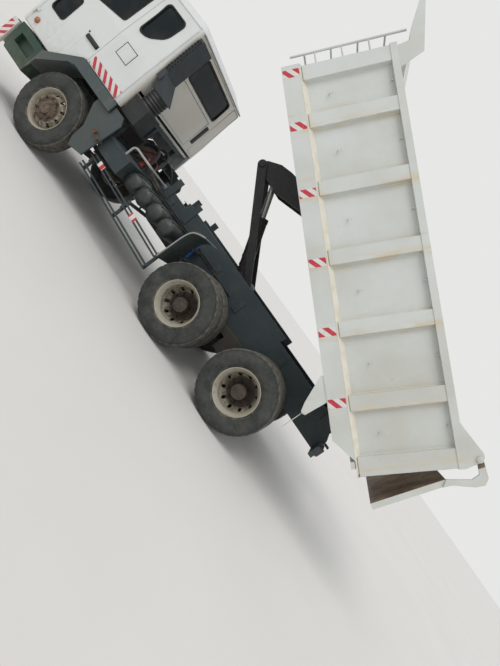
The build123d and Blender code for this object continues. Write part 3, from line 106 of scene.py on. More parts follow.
class Finish:
    """One node material while it is being made."""

    def __init__(self, name, colour, rough, metal=0.0, coat=0.0):
        self.material = bpy.data.materials.new(name)
        self.material.use_nodes = True
        self.tree = self.material.node_tree
        self.shader = self.tree.nodes["Principled BSDF"]
        self.fill(self.shader, {"Base Color": (*colour, 1), "Roughness": rough, "Metallic": metal,
                                "Coat Weight": coat})
        self.place = self.node("ShaderNodeTexCoord").outputs["Object"]

    def fill(self, node, inputs):
        """Links or sets inputs of a node, each found by its name or number."""
        for key, value in inputs.items():
            if isinstance(value, bpy.types.NodeSocket):
                self.tree.links.new(value, node.inputs[key])
            else:
                node.inputs[key].default_value = value

    def node(self, kind, inputs=None, **settings):
        made = self.tree.nodes.new(kind)
        for key, value in settings.items():
            setattr(made, key, value)
        self.fill(made, inputs or {})
        return made

    def moved(self, location, turn=(0, 0, 0)):
        """The place on the piece, seen from a frame that stands elsewhere."""
        inputs = {"Vector": self.place, "Location": location, "Rotation": turn}
        return self.node("ShaderNodeMapping", inputs, vector_type="TEXTURE").outputs["Vector"]

    def split(self, vector):
        """The three coordinates of a vector."""
        return self.node("ShaderNodeSeparateXYZ", {0: vector}).outputs

    def math(self, operation, first, second=0.0):
        return self.node("ShaderNodeMath", {0: first, 1: second}, operation=operation).outputs[0]

    def times(self, first, second):
        return self.math("MULTIPLY", first, second)

    def noise(self, scale, detail=4.0, stretch=None, at=None, rough=0.55):
        """Cloudy noise from 0 to 1. Stretch squeezes or draws it along each axis."""
        place = at or self.place
        if stretch:
            mapping = self.node("ShaderNodeMapping", {"Vector": place, "Scale": stretch})
            place = mapping.outputs["Vector"]
        inputs = {"Vector": place, "Scale": scale, "Detail": detail, "Roughness": rough}
        return self.node("ShaderNodeTexNoise", inputs).outputs["Fac"]

    def cells(self, scale, feature="F1"):
        inputs = {"Vector": self.place, "Scale": scale}
        return self.node("ShaderNodeTexVoronoi", inputs, feature=feature).outputs["Distance"]

    def ramp(self, value, low, high, start=0.0, end=1.0):
        """Start below low, end above high, and smooth between."""
        inputs = {"Value": value, "From Min": low, "From Max": high, "To Min": start, "To Max": end}
        made = self.node("ShaderNodeMapRange", inputs, interpolation_type="SMOOTHSTEP")
        return made.outputs["Result"]

    def mix(self, share, first, second):
        """Blends two colours, or colour outputs."""
        inputs = {0: share}
        for socket, value in ((COLOUR_1, first), (COLOUR_2, second)):
            linked = isinstance(value, bpy.types.NodeSocket)
            inputs[socket] = value if linked else (*value, 1)
        return self.node("ShaderNodeMix", inputs, data_type="RGBA").outputs[MIXED]

    def facing(self):
        """Which way the surface faces on the piece itself, as x, y and z."""
        return self.split(self.node("ShaderNodeTexCoord").outputs["Normal"])

    def edges(self, radius=0.006):
        """Near 1 along sharp edges, 0 on open faces."""
        softened = self.node("ShaderNodeBevel", {"Radius": radius}, samples=4).outputs[0]
        own = self.node("ShaderNodeNewGeometry").outputs["Normal"]
        dot = self.node("ShaderNodeVectorMath", {0: softened, 1: own}, operation="DOT_PRODUCT")
        return self.ramp(dot.outputs["Value"], 0.8, 0.99, 1.0, 0.0)

    def colour(self, value):
        self.fill(self.shader, {"Base Color": value})

    def roughness(self, value):
        self.fill(self.shader, {"Roughness": value})

    def bump(self, height, distance, strength):
        inputs = {"Height": height, "Distance": distance, "Strength": strength}
        made = self.node("ShaderNodeBump", inputs)
        self.fill(self.shader, {"Normal": made.outputs["Normal"]})


DUST = (0.3, 0.24, 0.17)
MUD = (0.16, 0.12, 0.08)
RUST = (0.16, 0.06, 0.025)


def paint(name, colour, rough=0.4, dust=0.25, dust_height=1.6, rust=0.12, shade=0.88, coat=0.15,
          back=None):
    """Sprayed paint that has faded in clouds, dusty low down, with streaks, chips and rusty edges.
    Faces that look backwards can take a warm colour of their own: dust and painted shade."""
    f = Finish(name, colour, rough, coat=coat)
    clouds = f.noise(1.3, 3)
    worn = f.mix(f.ramp(clouds, 0.35, 0.7), colour, [shade * c for c in colour])
    streaks = f.noise(5.0, 5, stretch=(3.0, 3.0, 0.35))
    worn = f.mix(f.ramp(streaks, 0.52, 0.8, 0, 0.35 * dust + 0.08), worn, DUST)
    height = f.split(f.place)[2]
    low = f.ramp(height, dust_height * 0.35, dust_height, 1.0, 0.0)
    specks = f.noise(14.0, 6)
    film = f.times(low, f.ramp(specks, 0.3, 0.75, 0.25, 1.0))
    worn = f.mix(f.times(film, dust * 2), worn, DUST)
    chips = f.times(f.ramp(f.noise(38.0, 3), 0.68, 0.74), f.ramp(f.noise(2.4, 2), 0.5, 0.65))
    edge = f.times(f.edges(), f.ramp(f.noise(11.0, 5), 0.5, 0.62))
    bare = f.math("MAXIMUM", f.times(chips, rust * 4), f.times(edge, min(1.0, rust * 5)))
    if back:
        # Faces that look backwards take the back colour: partly dust, partly painted shade
        back_dust_and_shade = f.times(f.ramp(f.facing()[0], -0.5, -0.9), f.ramp(clouds, 0.2, 0.7, 0.6, 1.0))
        worn = f.mix(back_dust_and_shade, worn, back)
    f.colour(f.mix(f.math("MINIMUM", bare, 0.9), worn, RUST))
    f.roughness(f.ramp(specks, 0.2, 0.8, rough - 0.06, min(0.95, rough + 0.25)))
    f.bump(f.math("SUBTRACT", f.times(f.noise(160.0, 2), 0.25), bare), 0.0006, 0.5)
    return f.material


def bed_paint(name, inside):
    """Pale paint in the bed's own axes: cream run-off beside ribs, rusty edges, soil inside."""
    base = (0.6, 0.625, 0.605)
    f = Finish(name, base, 0.5, coat=0.1)
    spot_in_bed = f.moved(BED_ORIGIN, (0, -BED_TILT, 0))
    along, across, up = f.split(spot_in_bed)
    clouds = f.noise(1.1, 4, at=spot_in_bed)
    worn = f.mix(f.ramp(clouds, 0.3, 0.75), base, (0.515, 0.52, 0.485))
    patches = f.noise(0.8, 6, stretch=(1.0, 1.0, 0.6), at=spot_in_bed, rough=0.65)
    worn = f.mix(f.ramp(patches, 0.5, 0.8, 0, 0.5), worn, (0.47, 0.45, 0.39))
    # Run-off beside each rib: distance to the rear foot of the nearest rib
    wrapped = f.math("FLOORED_MODULO", f.math("SUBTRACT", along, FIRST_RIB + RIB_FOOT), RIB_STEP)
    beside = f.math("MINIMUM", wrapped, f.math("SUBTRACT", RIB_GAP, wrapped))
    beside = f.ramp(f.math("ABSOLUTE", beside), 0.0, 0.11, 1.0, 0.0)
    streaks = f.ramp(f.noise(7.0, 6, stretch=(2.2, 1.0, 0.5), at=spot_in_bed), 0.4, 0.68)
    outside = f.ramp(f.math("ABSOLUTE", across), SHEET_Y - 0.004, SHEET_Y + 0.002)
    outer = f.times(outside, within(f, along, RUN_OFF_END))
    flow = f.times(f.times(beside, streaks), outer)
    worn = f.mix(f.times(flow, 0.8), worn, (0.57, 0.49, 0.34))
    ledge = f.ramp(f.math("ABSOLUTE", f.math("SUBTRACT", up, LEDGE)), 0.0, 0.035, 1.0, 0.0)
    crust = f.times(f.times(ledge, f.ramp(f.noise(9.0, 6), 0.42, 0.7)), outer)
    worn = f.mix(f.times(crust, 0.7), worn, (0.6, 0.53, 0.38))
    specks = f.noise(30.0, 4)
    edge = f.times(f.edges(0.008), f.ramp(f.noise(8.0, 6), 0.5, 0.66))
    chips = f.times(f.ramp(specks, 0.68, 0.73), f.ramp(f.noise(1.7, 3), 0.52, 0.66))
    bare = f.math("MAXIMUM", f.times(edge, 0.55), f.times(chips, 0.5))
    worn = f.mix(bare, worn, RUST)
    if inside:
        clods = f.ramp(f.noise(5.0, 6, at=spot_in_bed), 0.3, 0.7)
        soil = f.mix(clods, (0.085, 0.055, 0.035), (0.2, 0.15, 0.1))
        worn = f.mix(inside(f, along, across, up), worn, soil)
    f.colour(worn)
    f.roughness(f.ramp(specks, 0.2, 0.8, 0.42, 0.75))
    dents = f.times(f.noise(2.2, 2, at=spot_in_bed), 14.0)
    f.bump(f.math("SUBTRACT", f.math("ADD", dents, f.times(specks, 0.4)), bare), 0.0009, 0.8)
    return f.material


def within(f, value, limit):
    """1 where the value is below the limit."""
    return f.math("LESS_THAN", value, limit)


def sides_inside(f, along, across, up):
    return within(f, f.math("ABSOLUTE", across), SHEET_INSIDE)


def wall_inside(f, along, across, up):
    return f.times(within(f, along, WALL_INSIDE), within(f, up, CANOPY))


def floor_inside(f, along, across, up):
    return f.math("GREATER_THAN", up, FLOOR_TOP)


def gate_inside(f, along, across, up):
    behind_skin = f.split(f.moved(GATE_PIVOT, (0, -GATE_TILT, 0)))[0]
    return f.math("GREATER_THAN", behind_skin, GATE_INSIDE)


def steel(name, colour, rough=0.6, dust=0.5, metal=0.0, dust_colour=DUST, rust=0.1):
    """Dark frame steel under dust, which lies thicker on what faces up."""
    f = Finish(name, colour, rough, metal=metal)
    fine, broad = f.noise(22.0, 6), f.noise(3.2, 5)
    lying = f.ramp(f.facing()[2], 0.1, 0.9, 0.25, 1.0)
    film = f.times(lying, f.ramp(f.times(fine, broad), 0.14, 0.36))
    worn = f.mix(f.times(film, dust), colour, dust_colour)
    rusty = f.times(f.ramp(f.noise(6.5, 6), 0.55, 0.7), rust * 3)
    worn = f.mix(f.math("MINIMUM", rusty, 0.9), worn, RUST)
    # Sharp edges turn a lighter grey: partly rubbed wear, partly a painted highlight
    worn = f.mix(f.times(f.edges(), 0.22), worn, (0.2, 0.19, 0.17))
    f.colour(worn)
    f.roughness(f.ramp(fine, 0.25, 0.75, rough - 0.1, min(0.97, rough + 0.2)))
    f.bump(f.math("ADD", fine, f.noise(90.0, 3)), 0.001, 0.6)
    return f.material


def wheel_radius(f, axle):
    """Distance from a wheel's hub."""
    x, _, z = f.split(f.moved((axle, 0, HUB_HEIGHT)))
    squared = f.math("ADD", f.times(x, x), f.times(z, z))
    return f.math("SQRT", squared)


def rubber(name, axle):
    """Tyre rubber: pale dust on the wall, dark rubbed shoulder, scuffs and moulded rings."""
    f = Finish(name, (0.035, 0.035, 0.034), 0.8)
    radius = wheel_radius(f, axle)
    wall = f.times(f.ramp(radius, 0.3, 0.36), f.ramp(radius, 0.515, 0.47))
    cloud = f.ramp(f.noise(6.0, 7, rough=0.6), 0.25, 0.78)
    film = f.times(f.math("ADD", f.times(wall, 0.42), 0.16), cloud)
    worn = f.mix(film, (0.02, 0.023, 0.022), (0.088, 0.09, 0.078))
    tread = f.ramp(radius, 0.505, 0.52)
    tread = f.times(tread, f.ramp(f.noise(16.0, 5), 0.3, 0.7, 0.3, 0.9))
    worn = f.mix(tread, worn, (0.14, 0.13, 0.105))
    bead = f.times(f.ramp(radius, 0.335, 0.305), f.ramp(f.noise(12.0, 4), 0.35, 0.7))
    worn = f.mix(f.times(bead, 0.7), worn, (0.17, 0.145, 0.11))
    f.colour(worn)
    f.roughness(f.ramp(f.noise(30.0, 3), 0.3, 0.7, 0.72, 0.95))
    rings = f.math("SINE", f.times(radius, 520.0))
    ring_zone = f.times(f.ramp(radius, 0.33, 0.335), f.ramp(radius, 0.375, 0.37))
    relief = f.math("ADD", f.times(rings, f.times(ring_zone, 0.5)), f.noise(120.0, 3))
    f.bump(relief, 0.0012, 0.7)
    return f.material


def rim_paint(name, axle, hub_mud):
    """Cream rim paint with mud at its edge, rust from the holes and a brown, oily hub."""
    base = (0.34, 0.325, 0.275)
    f = Finish(name, base, 0.6)
    radius = wheel_radius(f, axle)
    speck = f.noise(18.0, 6, rough=0.65)
    worn = f.mix(f.ramp(f.noise(5.0, 4), 0.35, 0.7), base, (0.31, 0.275, 0.2))
    disc = f.times(f.ramp(radius, 0.262, 0.235), f.ramp(speck, 0.36, 0.6))
    worn = f.mix(f.times(disc, 0.85), worn, (0.125, 0.085, 0.055))
    spots = f.ramp(f.noise(26.0, 5), 0.6, 0.68)
    worn = f.mix(f.times(spots, 0.5), worn, (0.11, 0.06, 0.035))
    hub = f.ramp(radius, 0.2, 0.175)
    hub_colour = f.mix(f.ramp(speck, 0.3, 0.7), (0.024, 0.019, 0.015), hub_mud)
    f.colour(f.mix(hub, worn, hub_colour))
    f.roughness(f.ramp(speck, 0.3, 0.7, 0.5, 0.85))
    f.bump(speck, 0.0012, 0.6)
    return f.material


def plastic(name, colour, rough=0.6, dust=0.3, grain=300.0, dust_colour=DUST):
    """Moulded plastic with a fine grain and dust on it."""
    f = Finish(name, colour, rough)
    cloud = f.ramp(f.noise(9.0, 6), 0.36, 0.7)
    film = f.times(cloud, f.ramp(f.facing()[2], -0.2, 0.9, 0.35, 1.0))
    f.colour(f.mix(f.times(film, dust), colour, dust_colour))
    f.roughness(f.ramp(cloud, 0, 1, rough, min(0.95, rough + 0.2)))
    f.bump(f.cells(grain), 0.0003, 0.4)
    return f.material


def stripes(name, direction, period, location=(AXLE, 0, 0), turn=(0, 0, 0)):
    """Diagonal red and white reflecting tape, scuffed and dusty."""
    f = Finish(name, (0.7, 0.7, 0.7), 0.35, coat=0.3)
    x, _, z = f.split(f.moved(location, turn))
    run = f.math("ADD", f.times(x, direction[0]), f.times(z, direction[1]))
    red = within(f, f.math("FRACT", f.times(run, 1 / period)), 0.5)
    fade = f.noise(20.0, 5)
    tape = f.mix(red, (0.66, 0.65, 0.63), (0.5, 0.025, 0.04))
    tape = f.mix(f.ramp(fade, 0.55, 0.8, 0, 0.5), tape, (0.42, 0.36, 0.3))
    f.colour(tape)
    f.roughness(f.ramp(fade, 0.3, 0.8, 0.3, 0.6))
    f.bump(f.cells(180.0, feature="DISTANCE_TO_EDGE"), 0.0004, 0.4)
    return f.material


def pane(name, tint):
    """Tinted glass with a film of dust on it."""
    f = Finish(name, tint, 0.04)
    f.fill(f.shader, {"Transmission Weight": 0.55, "IOR": 1.25})
    dust = f.ramp(f.noise(4.0, 6), 0.4, 0.8, 0.0, 0.18)
    f.colour(f.mix(dust, tint, DUST))
    f.roughness(f.ramp(f.noise(6.0, 6), 0.3, 0.8, 0.04, 0.22))
    return f.material


def lens(name, colour):
    """Ribbed lamp glass over a bright reflector, with painted shade in its grooves."""
    f = Finish(name, colour, 0.12, coat=0.6)
    ribs = f.node("ShaderNodeTexWave", {"Vector": f.place, "Scale": 38.0}, bands_direction="Z")
    # The grooves between the ribs are darkened to half colour: painted shade
    groove_shade = f.ramp(ribs.outputs["Fac"], 0.2, 0.8, 0.0, 0.35)
    f.colour(f.mix(groove_shade, colour, [0.5 * c for c in colour]))
    f.roughness(f.ramp(f.noise(9.0, 5), 0.4, 0.8, 0.1, 0.4))
    f.bump(ribs.outputs["Fac"], 0.002, 0.6)
    return f.material


def mirror_glass():
    """Silvered glass, dusty towards its edges."""
    f = Finish("mirror_glass", (0.72, 0.74, 0.76), 0.05, metal=1.0)
    film = f.ramp(f.noise(11.0, 5), 0.42, 0.78, 0.0, 0.5)
    f.colour(f.mix(film, (0.72, 0.74, 0.76), (0.4, 0.37, 0.32)))
    f.roughness(f.ramp(film, 0.0, 0.5, 0.04, 0.4))
    return f.material


# The cab's back colour is a warm tone on faces looking backwards: partly dust, partly painted shade
WHITE = paint("cab_paint", (0.66, 0.685, 0.675), 0.32, dust=0.16, dust_height=1.7, rust=0.06,
              shade=0.93, coat=0.35, back=(0.6, 0.565, 0.49))
BED_SIDES = bed_paint("bed_paint_sides", sides_inside)
BED_WALL = bed_paint("bed_paint_wall", wall_inside)
BED_FLOOR = bed_paint("bed_paint_floor", floor_inside)
BED_GATE = bed_paint("bed_paint_gate", gate_inside)
BED_PLAIN = bed_paint("bed_paint_plain", None)
GREY = paint("grey_paint", (0.058, 0.078, 0.078), 0.5, dust=0.22, dust_height=1.3, rust=0.08)
GREEN = paint("green_paint", (0.012, 0.045, 0.028), 0.35, dust=0.14, dust_height=1.0, rust=0.04)
GREY_DUST = (0.115, 0.12, 0.112)
CHASSIS = steel("chassis_paint", (0.026, 0.041, 0.047), 0.6, 0.42, dust_colour=GREY_DUST,
                rust=0.05)
TANK = steel("tank_paint", (0.02, 0.026, 0.026), 0.42, 0.6, dust_colour=(0.15, 0.155, 0.14),
             rust=0.02)
GUARD = steel("mudguard_paint", (0.052, 0.068, 0.068), 0.4, 0.36,
              dust_colour=(0.16, 0.135, 0.105), rust=0.04)
UNDERSIDE = steel("axle_steel", (0.03, 0.028, 0.026), 0.7, 0.6, dust_colour=MUD)
HOIST = steel("hoist_paint", (0.008, 0.008, 0.009), 0.45, 0.14, dust_colour=GREY_DUST, rust=0.03)
IRON = steel("iron", (0.05, 0.045, 0.04), 0.65, 0.5, rust=0.15)
RUSTY = steel("rusty_steel", (0.085, 0.045, 0.028), 0.85, 0.5, rust=0.2)
CHROME = steel("bright_steel", (0.42, 0.42, 0.41), 0.35, 0.35, metal=0.8, rust=0.06)
RUBBER = {name: rubber(f"tyre_{name}", axle) for name, axle in
          (("front", FRONT_AXLE), ("middle", MIDDLE_AXLE), ("rear", AXLE))}
RIMS = {name: rim_paint(f"rim_paint_{name}", axle, hub_mud) for name, axle, hub_mud in
        (("front", FRONT_AXLE, (0.19, 0.13, 0.09)), ("middle", MIDDLE_AXLE, (0.08, 0.058, 0.042)),
         ("rear", AXLE, (0.08, 0.058, 0.042)))}
# Dark grey paint: the handrail's own colour, painted shade on the cab back's pressings, and worn
# paint with a painted highlight on the mudguard beads
EDGE = paint("dark_grey_trim", (0.3, 0.31, 0.3), 0.4, dust=0.2, dust_height=1.0, rust=0.1)
HOSE = plastic("pipe_rubber", (0.02, 0.02, 0.021), 0.7, dust=0.45, dust_colour=GREY_DUST)
MIRROR = mirror_glass()
BLACK = plastic("black_plastic", (0.018, 0.019, 0.02), 0.55, dust=0.25, dust_colour=GREY_DUST)
SLATE = plastic("duct_plastic", (0.034, 0.042, 0.048), 0.6, dust=0.3, dust_colour=GREY_DUST)
CREAM = plastic("run_off_cream", (0.66, 0.64, 0.56), 0.6, dust=0.45, grain=120.0,
                dust_colour=(0.5, 0.42, 0.28))
SEAL = plastic("window_rubber", (0.007, 0.007, 0.008), 0.7, dust=0.03)
TRIM = plastic("interior_trim", (0.13, 0.125, 0.12), 0.75, dust=0.2)
BLUE = plastic("blue_plastic", (0.02, 0.09, 0.33), 0.45, dust=0.25)
RED = paint("red_paint", (0.36, 0.025, 0.02), 0.45, dust=0.3)
GLASS = pane("glass", (0.022, 0.034, 0.038))
AMBER_LENS = lens("amber_lens", (0.38, 0.11, 0.02))
RED_LENS = lens("red_lens", (0.4, 0.015, 0.02))
CLEAR_LENS = lens("clear_lens", (0.62, 0.64, 0.66))
SKIRT_TAPE = stripes("skirt_tape", (0.707, 0.707), 0.105, BED_ORIGIN, (0, -BED_TILT, 0))
CAB_TAPE = stripes("cab_tape", (0.7, -0.71), 0.095)
BUMPER_TAPE = stripes("bumper_tape", (0.707, 0.707), 0.09)
MARKER_TAPE = stripes("marker_tape", (1.0, 0.0), 0.112)


# Shapes

def block(shape, low, high, soft=0.003):
    """A box between two corners, with its edges softened."""
    low, high = Vector(low), Vector(high)
    place = Matrix.Translation((low + high) / 2) @ Matrix.Diagonal((*(high - low), 1))
    made = bmesh.ops.create_cube(shape, size=1, matrix=place)
    if soft:
        edges = {edge for vert in made["verts"] for edge in vert.link_edges}
        bmesh.ops.bevel(shape, geom=list(edges), offset=soft, segments=2, profile=0.5,
                        affect="EDGES", material=-1)


def side_block(shape, side, low, high, soft=0.003, place=spot):
    """A box on one side of the truck. Across it counts outwards from the middle."""
    near, far = sorted((side * low[1], side * high[1]))
    block(shape, place(low[0], near, low[2]), place(high[0], far, high[2]), soft)


def rod(shape, start, end, radius, tip=None, segments=16):
    """A round bar or cone between two points."""
    start, end = Vector(start), Vector(end)
    run = end - start
    place = Matrix.Translation((start + end) / 2) @ run.to_track_quat("Z", "Y").to_matrix().to_4x4()
    bmesh.ops.create_cone(shape, cap_ends=True, cap_tris=False, segments=segments, radius1=radius,
                          radius2=radius if tip is None else tip, depth=run.length, matrix=place)


def bolt(shape, point, facing, size=0.011):
    """A hexagon head on its washer."""
    point, facing = Vector(point), Vector(facing).normalized()
    rod(shape, point - 0.002 * facing, point + 0.15 * size * facing, 1.5 * size, segments=12)
    rod(shape, point, point + 0.85 * size * facing, size, segments=6)


def bead(shape, points, radius, closed=False):
    """A round bead of metal along straight runs, with a ball in each corner."""
    points = [Vector(p) for p in points]
    for start, end in zip(points, points[1:] + points[:1] if closed else points[1:]):
        rod(shape, start, end, radius, segments=8)
    for point in points:
        bmesh.ops.create_icosphere(shape, subdivisions=2, radius=radius,
                                   matrix=Matrix.Translation(point))


def turned(shape, outline, centre, along=(0, 1, 0), steps=48):
    """Spins a closed outline of (radius, distance along) about an axis through the centre."""
    centre, along = Vector(centre), Vector(along)
    outwards = along.orthogonal().normalized()
    verts = [shape.verts.new(centre + radius * outwards + distance * along)
             for radius, distance in outline]
    edges = [shape.edges.new(pair) for pair in zip(verts, verts[1:] + verts[:1])]
    bmesh.ops.spin(shape, geom=verts + edges, cent=centre, axis=along, angle=2 * pi, steps=steps,
                   use_merge=True)


def hoop(shape, radii, span, centre, along=(0, 1, 0), steps=48):
    """A flat band round an axis, between two radii and two distances along."""
    (inner, outer), (low, high) = radii, span
    turned(shape, ((inner, low), (outer, low), (outer, high), (inner, high)), centre, along, steps)


def grow(shape, faces, depth):
    """Gives flat faces a thickness, as a vector."""
    grown = bmesh.ops.extrude_face_region(shape, geom=faces)["geom"]
    moved = [part for part in grown if isinstance(part, bmesh.types.BMVert)]
    bmesh.ops.translate(shape, verts=moved, vec=depth)


def slab(shape, outline, depth):
    """A flat outline of points, grown by a vector."""
    grow(shape, [shape.faces.new([shape.verts.new(point) for point in outline])], depth)


def take(shape, mesh):
    """Moves a mesh into a shape."""
    shape.from_mesh(mesh)
    bpy.data.meshes.remove(mesh)


def lay_on(shape, drawn, lay):
    """Bends a shape of its own onto a wall and moves it into another shape."""
    for vert in drawn.verts:
        vert.co = lay(*vert.co)
    mesh = bpy.data.meshes.new("drawn")
    drawn.to_mesh(mesh)
    drawn.free()
    take(shape, mesh)


def tube(shape, points, radius):
    """A bent pipe along its control points."""
    curve = bpy.data.curves.new("route", "CURVE")
    curve.dimensions = "3D"
    curve.bevel_depth = radius
    curve.bevel_resolution = 2
    curve.use_fill_caps = True
    curve.resolution_u = 6
    spline = curve.splines.new("NURBS")
    spline.points.add(len(points) - 1)
    for control, point in zip(spline.points, points):
        control.co = (*point, 1)
    spline.order_u = 3
    spline.use_endpoint_u = True
    carrier = bpy.data.objects.new("route", curve)
    take(shape, bpy.data.meshes.new_from_object(carrier))
    bpy.data.objects.remove(carrier)
    bpy.data.curves.remove(curve)


def piece(name, shape, body, finish, place=None, sharp=40):
    """Closes a shape, gives it its finish and lets it ride on its body."""
    if place:
        bmesh.ops.transform(shape, matrix=place, verts=shape.verts)
    bmesh.ops.remove_doubles(shape, verts=shape.verts, dist=1e-6)
    bmesh.ops.recalc_face_normals(shape, faces=shape.faces)
    mesh = bpy.data.meshes.new(name)
    shape.to_mesh(mesh)
    shape.free()
    mesh.shade_smooth()
    mesh.set_sharp_from_angle(angle=radians(sharp))
    mesh.materials.append(finish)
    made = bpy.data.objects.new(name, mesh)
    scene.collection.objects.link(made)
    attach(made, body)
    return made


def dress(finish, *names):
    """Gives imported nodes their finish."""
    for name in names:
        nodes[name].data.materials.clear()
        nodes[name].data.materials.append(finish)


# Camera, light and floor

CAMERA_AT = Vector((AXLE - 0.597, 7.085, 1.731))
YAW, PITCH, ROLL = radians(10.426), radians(-6.302), radians(54.146)
ahead = Vector((sin(YAW) * cos(PITCH), -cos(YAW) * cos(PITCH), sin(PITCH)))
level = ahead.cross(Vector((0, 0, 1))).normalized()
above = level.cross(ahead)
right = cos(ROLL) * level + sin(ROLL) * above
upwards = cos(ROLL) * above - sin(ROLL) * level
camera = bpy.data.objects.new("camera", bpy.data.cameras.new("camera"))
camera.data.lens = 27.17
axes = Matrix((right, upwards, -ahead)).transposed()
camera.matrix_world = Matrix.Translation(CAMERA_AT) @ axes.to_4x4()
scene.collection.objects.link(camera)
scene.camera = camera
scene.view_settings.view_transform = "Standard"

ground = bmesh.new()
bmesh.ops.create_circle(ground, cap_ends=True, segments=96, radius=70)
mesh = bpy.data.meshes.new("floor")
ground.to_mesh(mesh)
ground.free()
floor = bpy.data.objects.new("floor", mesh)
floor.location.z = -0.001
scene.collection.objects.link(floor)
floor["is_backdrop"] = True
concrete = Finish("floor", (0.66, 0.65, 0.63), 0.9)
concrete.colour(concrete.mix(concrete.noise(0.6, 6), (0.68, 0.67, 0.65), (0.62, 0.61, 0.59)))
mesh.materials.append(concrete.material)

world = bpy.data.worlds.new("studio")
world.use_nodes = True
scene.world = world
studio = world.node_tree
sky = studio.nodes["Background"]
backdrop = studio.nodes.new("ShaderNodeBackground")
for shade, colour, strength in (
    (sky, (0.97, 0.985, 1.0, 1), 0.72), (backdrop, (0.8, 0.8, 0.79, 1), 1.0),
):
    shade.inputs["Color"].default_value = colour
    shade.inputs["Strength"].default_value = strength
seen = studio.nodes.new("ShaderNodeLightPath")
either = studio.nodes.new("ShaderNodeMath")
either.operation = "MAXIMUM"
blend = studio.nodes.new("ShaderNodeMixShader")
for source, target in (
    (seen.outputs["Is Camera Ray"], either.inputs[0]),
    (seen.outputs["Is Transmission Ray"], either.inputs[1]),
    (either.outputs[0], blend.inputs[0]),
    (sky.outputs[0], blend.inputs[1]),
    (backdrop.outputs[0], blend.inputs[2]),
    (blend.outputs[0], studio.nodes["World Output"].inputs["Surface"]),
):
    studio.links.new(source, target)


def sun(name, energy, spread, towards, colour=(1, 1, 1)):
    """A broad light from far off, from the side that it is towards."""
    light = bpy.data.lights.new(name, "SUN")
    light.energy, light.angle, light.color = energy, radians(spread), colour
    lamp = bpy.data.objects.new(name, light)
    lamp.rotation_euler = Vector(towards).to_track_quat("Z", "Y").to_euler()
    scene.collection.objects.link(lamp)


sun("key", 1.15, 35, (0.35, 0.75, 1.1), (1.0, 0.97, 0.93))
sun("fill", 0.6, 90, (-0.85, 0.35, 0.5))

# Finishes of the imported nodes

dress(WHITE, "cab_shell", "door_left", "door_right", "front_bumper")
dress(GLASS, "cab_glass", "door_glass_left", "door_glass_right")
dress(BLACK, "cab_front", "air_cleaner", "mirror_left", "mirror_right")
dress(SLATE, "snorkel")
dress(EDGE, "handrail")
dress(BLUE, "filter_can")
dress(TRIM, "cab_interior")
dress(BED_SIDES, "bed_side_left", "bed_side_right")
dress(BED_FLOOR, "bed_floor")
dress(BED_WALL, "bed_front_wall")
dress(BED_GATE, "tailgate")
dress(BED_PLAIN, "bed_ladder", "mud_flaps")
dress(GREY, "wheel_arches")
dress(GUARD, "mudguards")
dress(GREEN, "cab_steps")
dress(CHASSIS, "frame_rails", "subframe", "air_tanks", "battery_box", "fuel_tank", "side_guards",
      "cab_support", "tail_bar")
dress(UNDERSIDE, "front_axle", "rear_axles", "leaf_springs", "driveline", "knuckle_left",
      "knuckle_right")
dress(IRON, "engine_block", "exhaust")
dress(HOIST, "hoist_arm", "hoist_lever", "hoist_cylinder", "hoist_bed_lugs")
dress(CHROME, "hoist_rod")
for place in ("front", "middle", "rear"):
    for _, mark in SIDES:
        dress(RIMS[place], f"rim_front_{mark}" if place == "front" else f"rims_{place}_{mark}")

# Tyres: half of the section as (radius, distance from the middle), bead to tread
TYRE_HALF = (
    (0.2853, 0.0985), (0.2935, 0.1050), (0.3060, 0.1150), (0.3250, 0.1275), (0.3520, 0.1375),
    (0.3850, 0.1420), (0.4200, 0.1425), (0.4550, 0.1400), (0.4830, 0.1345), (0.5030, 0.1265),
    (0.5160, 0.1180), (0.5245, 0.1100), (0.5275, 0.0980), (0.5285, 0.0775), (0.5155, 0.0750),
    (0.5155, 0.0650), (0.5290, 0.0625), (0.5295, 0.0300), (0.5165, 0.0275), (0.5165, 0.0200),
    (0.5298, 0.0175),
)
TYRE_STEPS = 96
GROOVE_EVERY = 3
SHOULDER = (0.079, 0.128)
CROWN_RADIUS = 0.507
FRONT_Y = 1.06
TWIN_Y = (1.085, 0.765)
# Depth of a notch and width of its lip, on driven wheels and on steered ones
LUGS, NOTCHES = (0.006, 0.003), (0.004, 0.007)


def tyre(shape, axle, y, pressed):
    """One tyre with its ribs, and notches pressed into its shoulders."""
    outline = list(TYRE_HALF) + [(radius, -offset) for radius, offset in reversed(TYRE_HALF)]
    before = set(shape.faces)
    centre = Vector((axle, y, HUB_HEIGHT))
    turned(shape, outline, centre, steps=TYRE_STEPS)
    notches = []
    for face in shape.faces:
        if face in before:
            continue
        off = face.calc_center_median() - centre
        radius = sqrt(off.x ** 2 + off.z ** 2)
        if radius < CROWN_RADIUS or not SHOULDER[0] < abs(off.y) < SHOULDER[1]:
            continue
        turn = Vector((off.x, off.z)).angle_signed(Vector((1, 0))) / (2 * pi) * TYRE_STEPS
        if int(turn + (0 if off.y > 0 else 1.5)) % GROOVE_EVERY == 0:
            notches.append(face)
    depth, lip = pressed
    bmesh.ops.inset_region(shape, faces=notches, thickness=lip, depth=-depth, use_boundary=True,
                           use_even_offset=True)


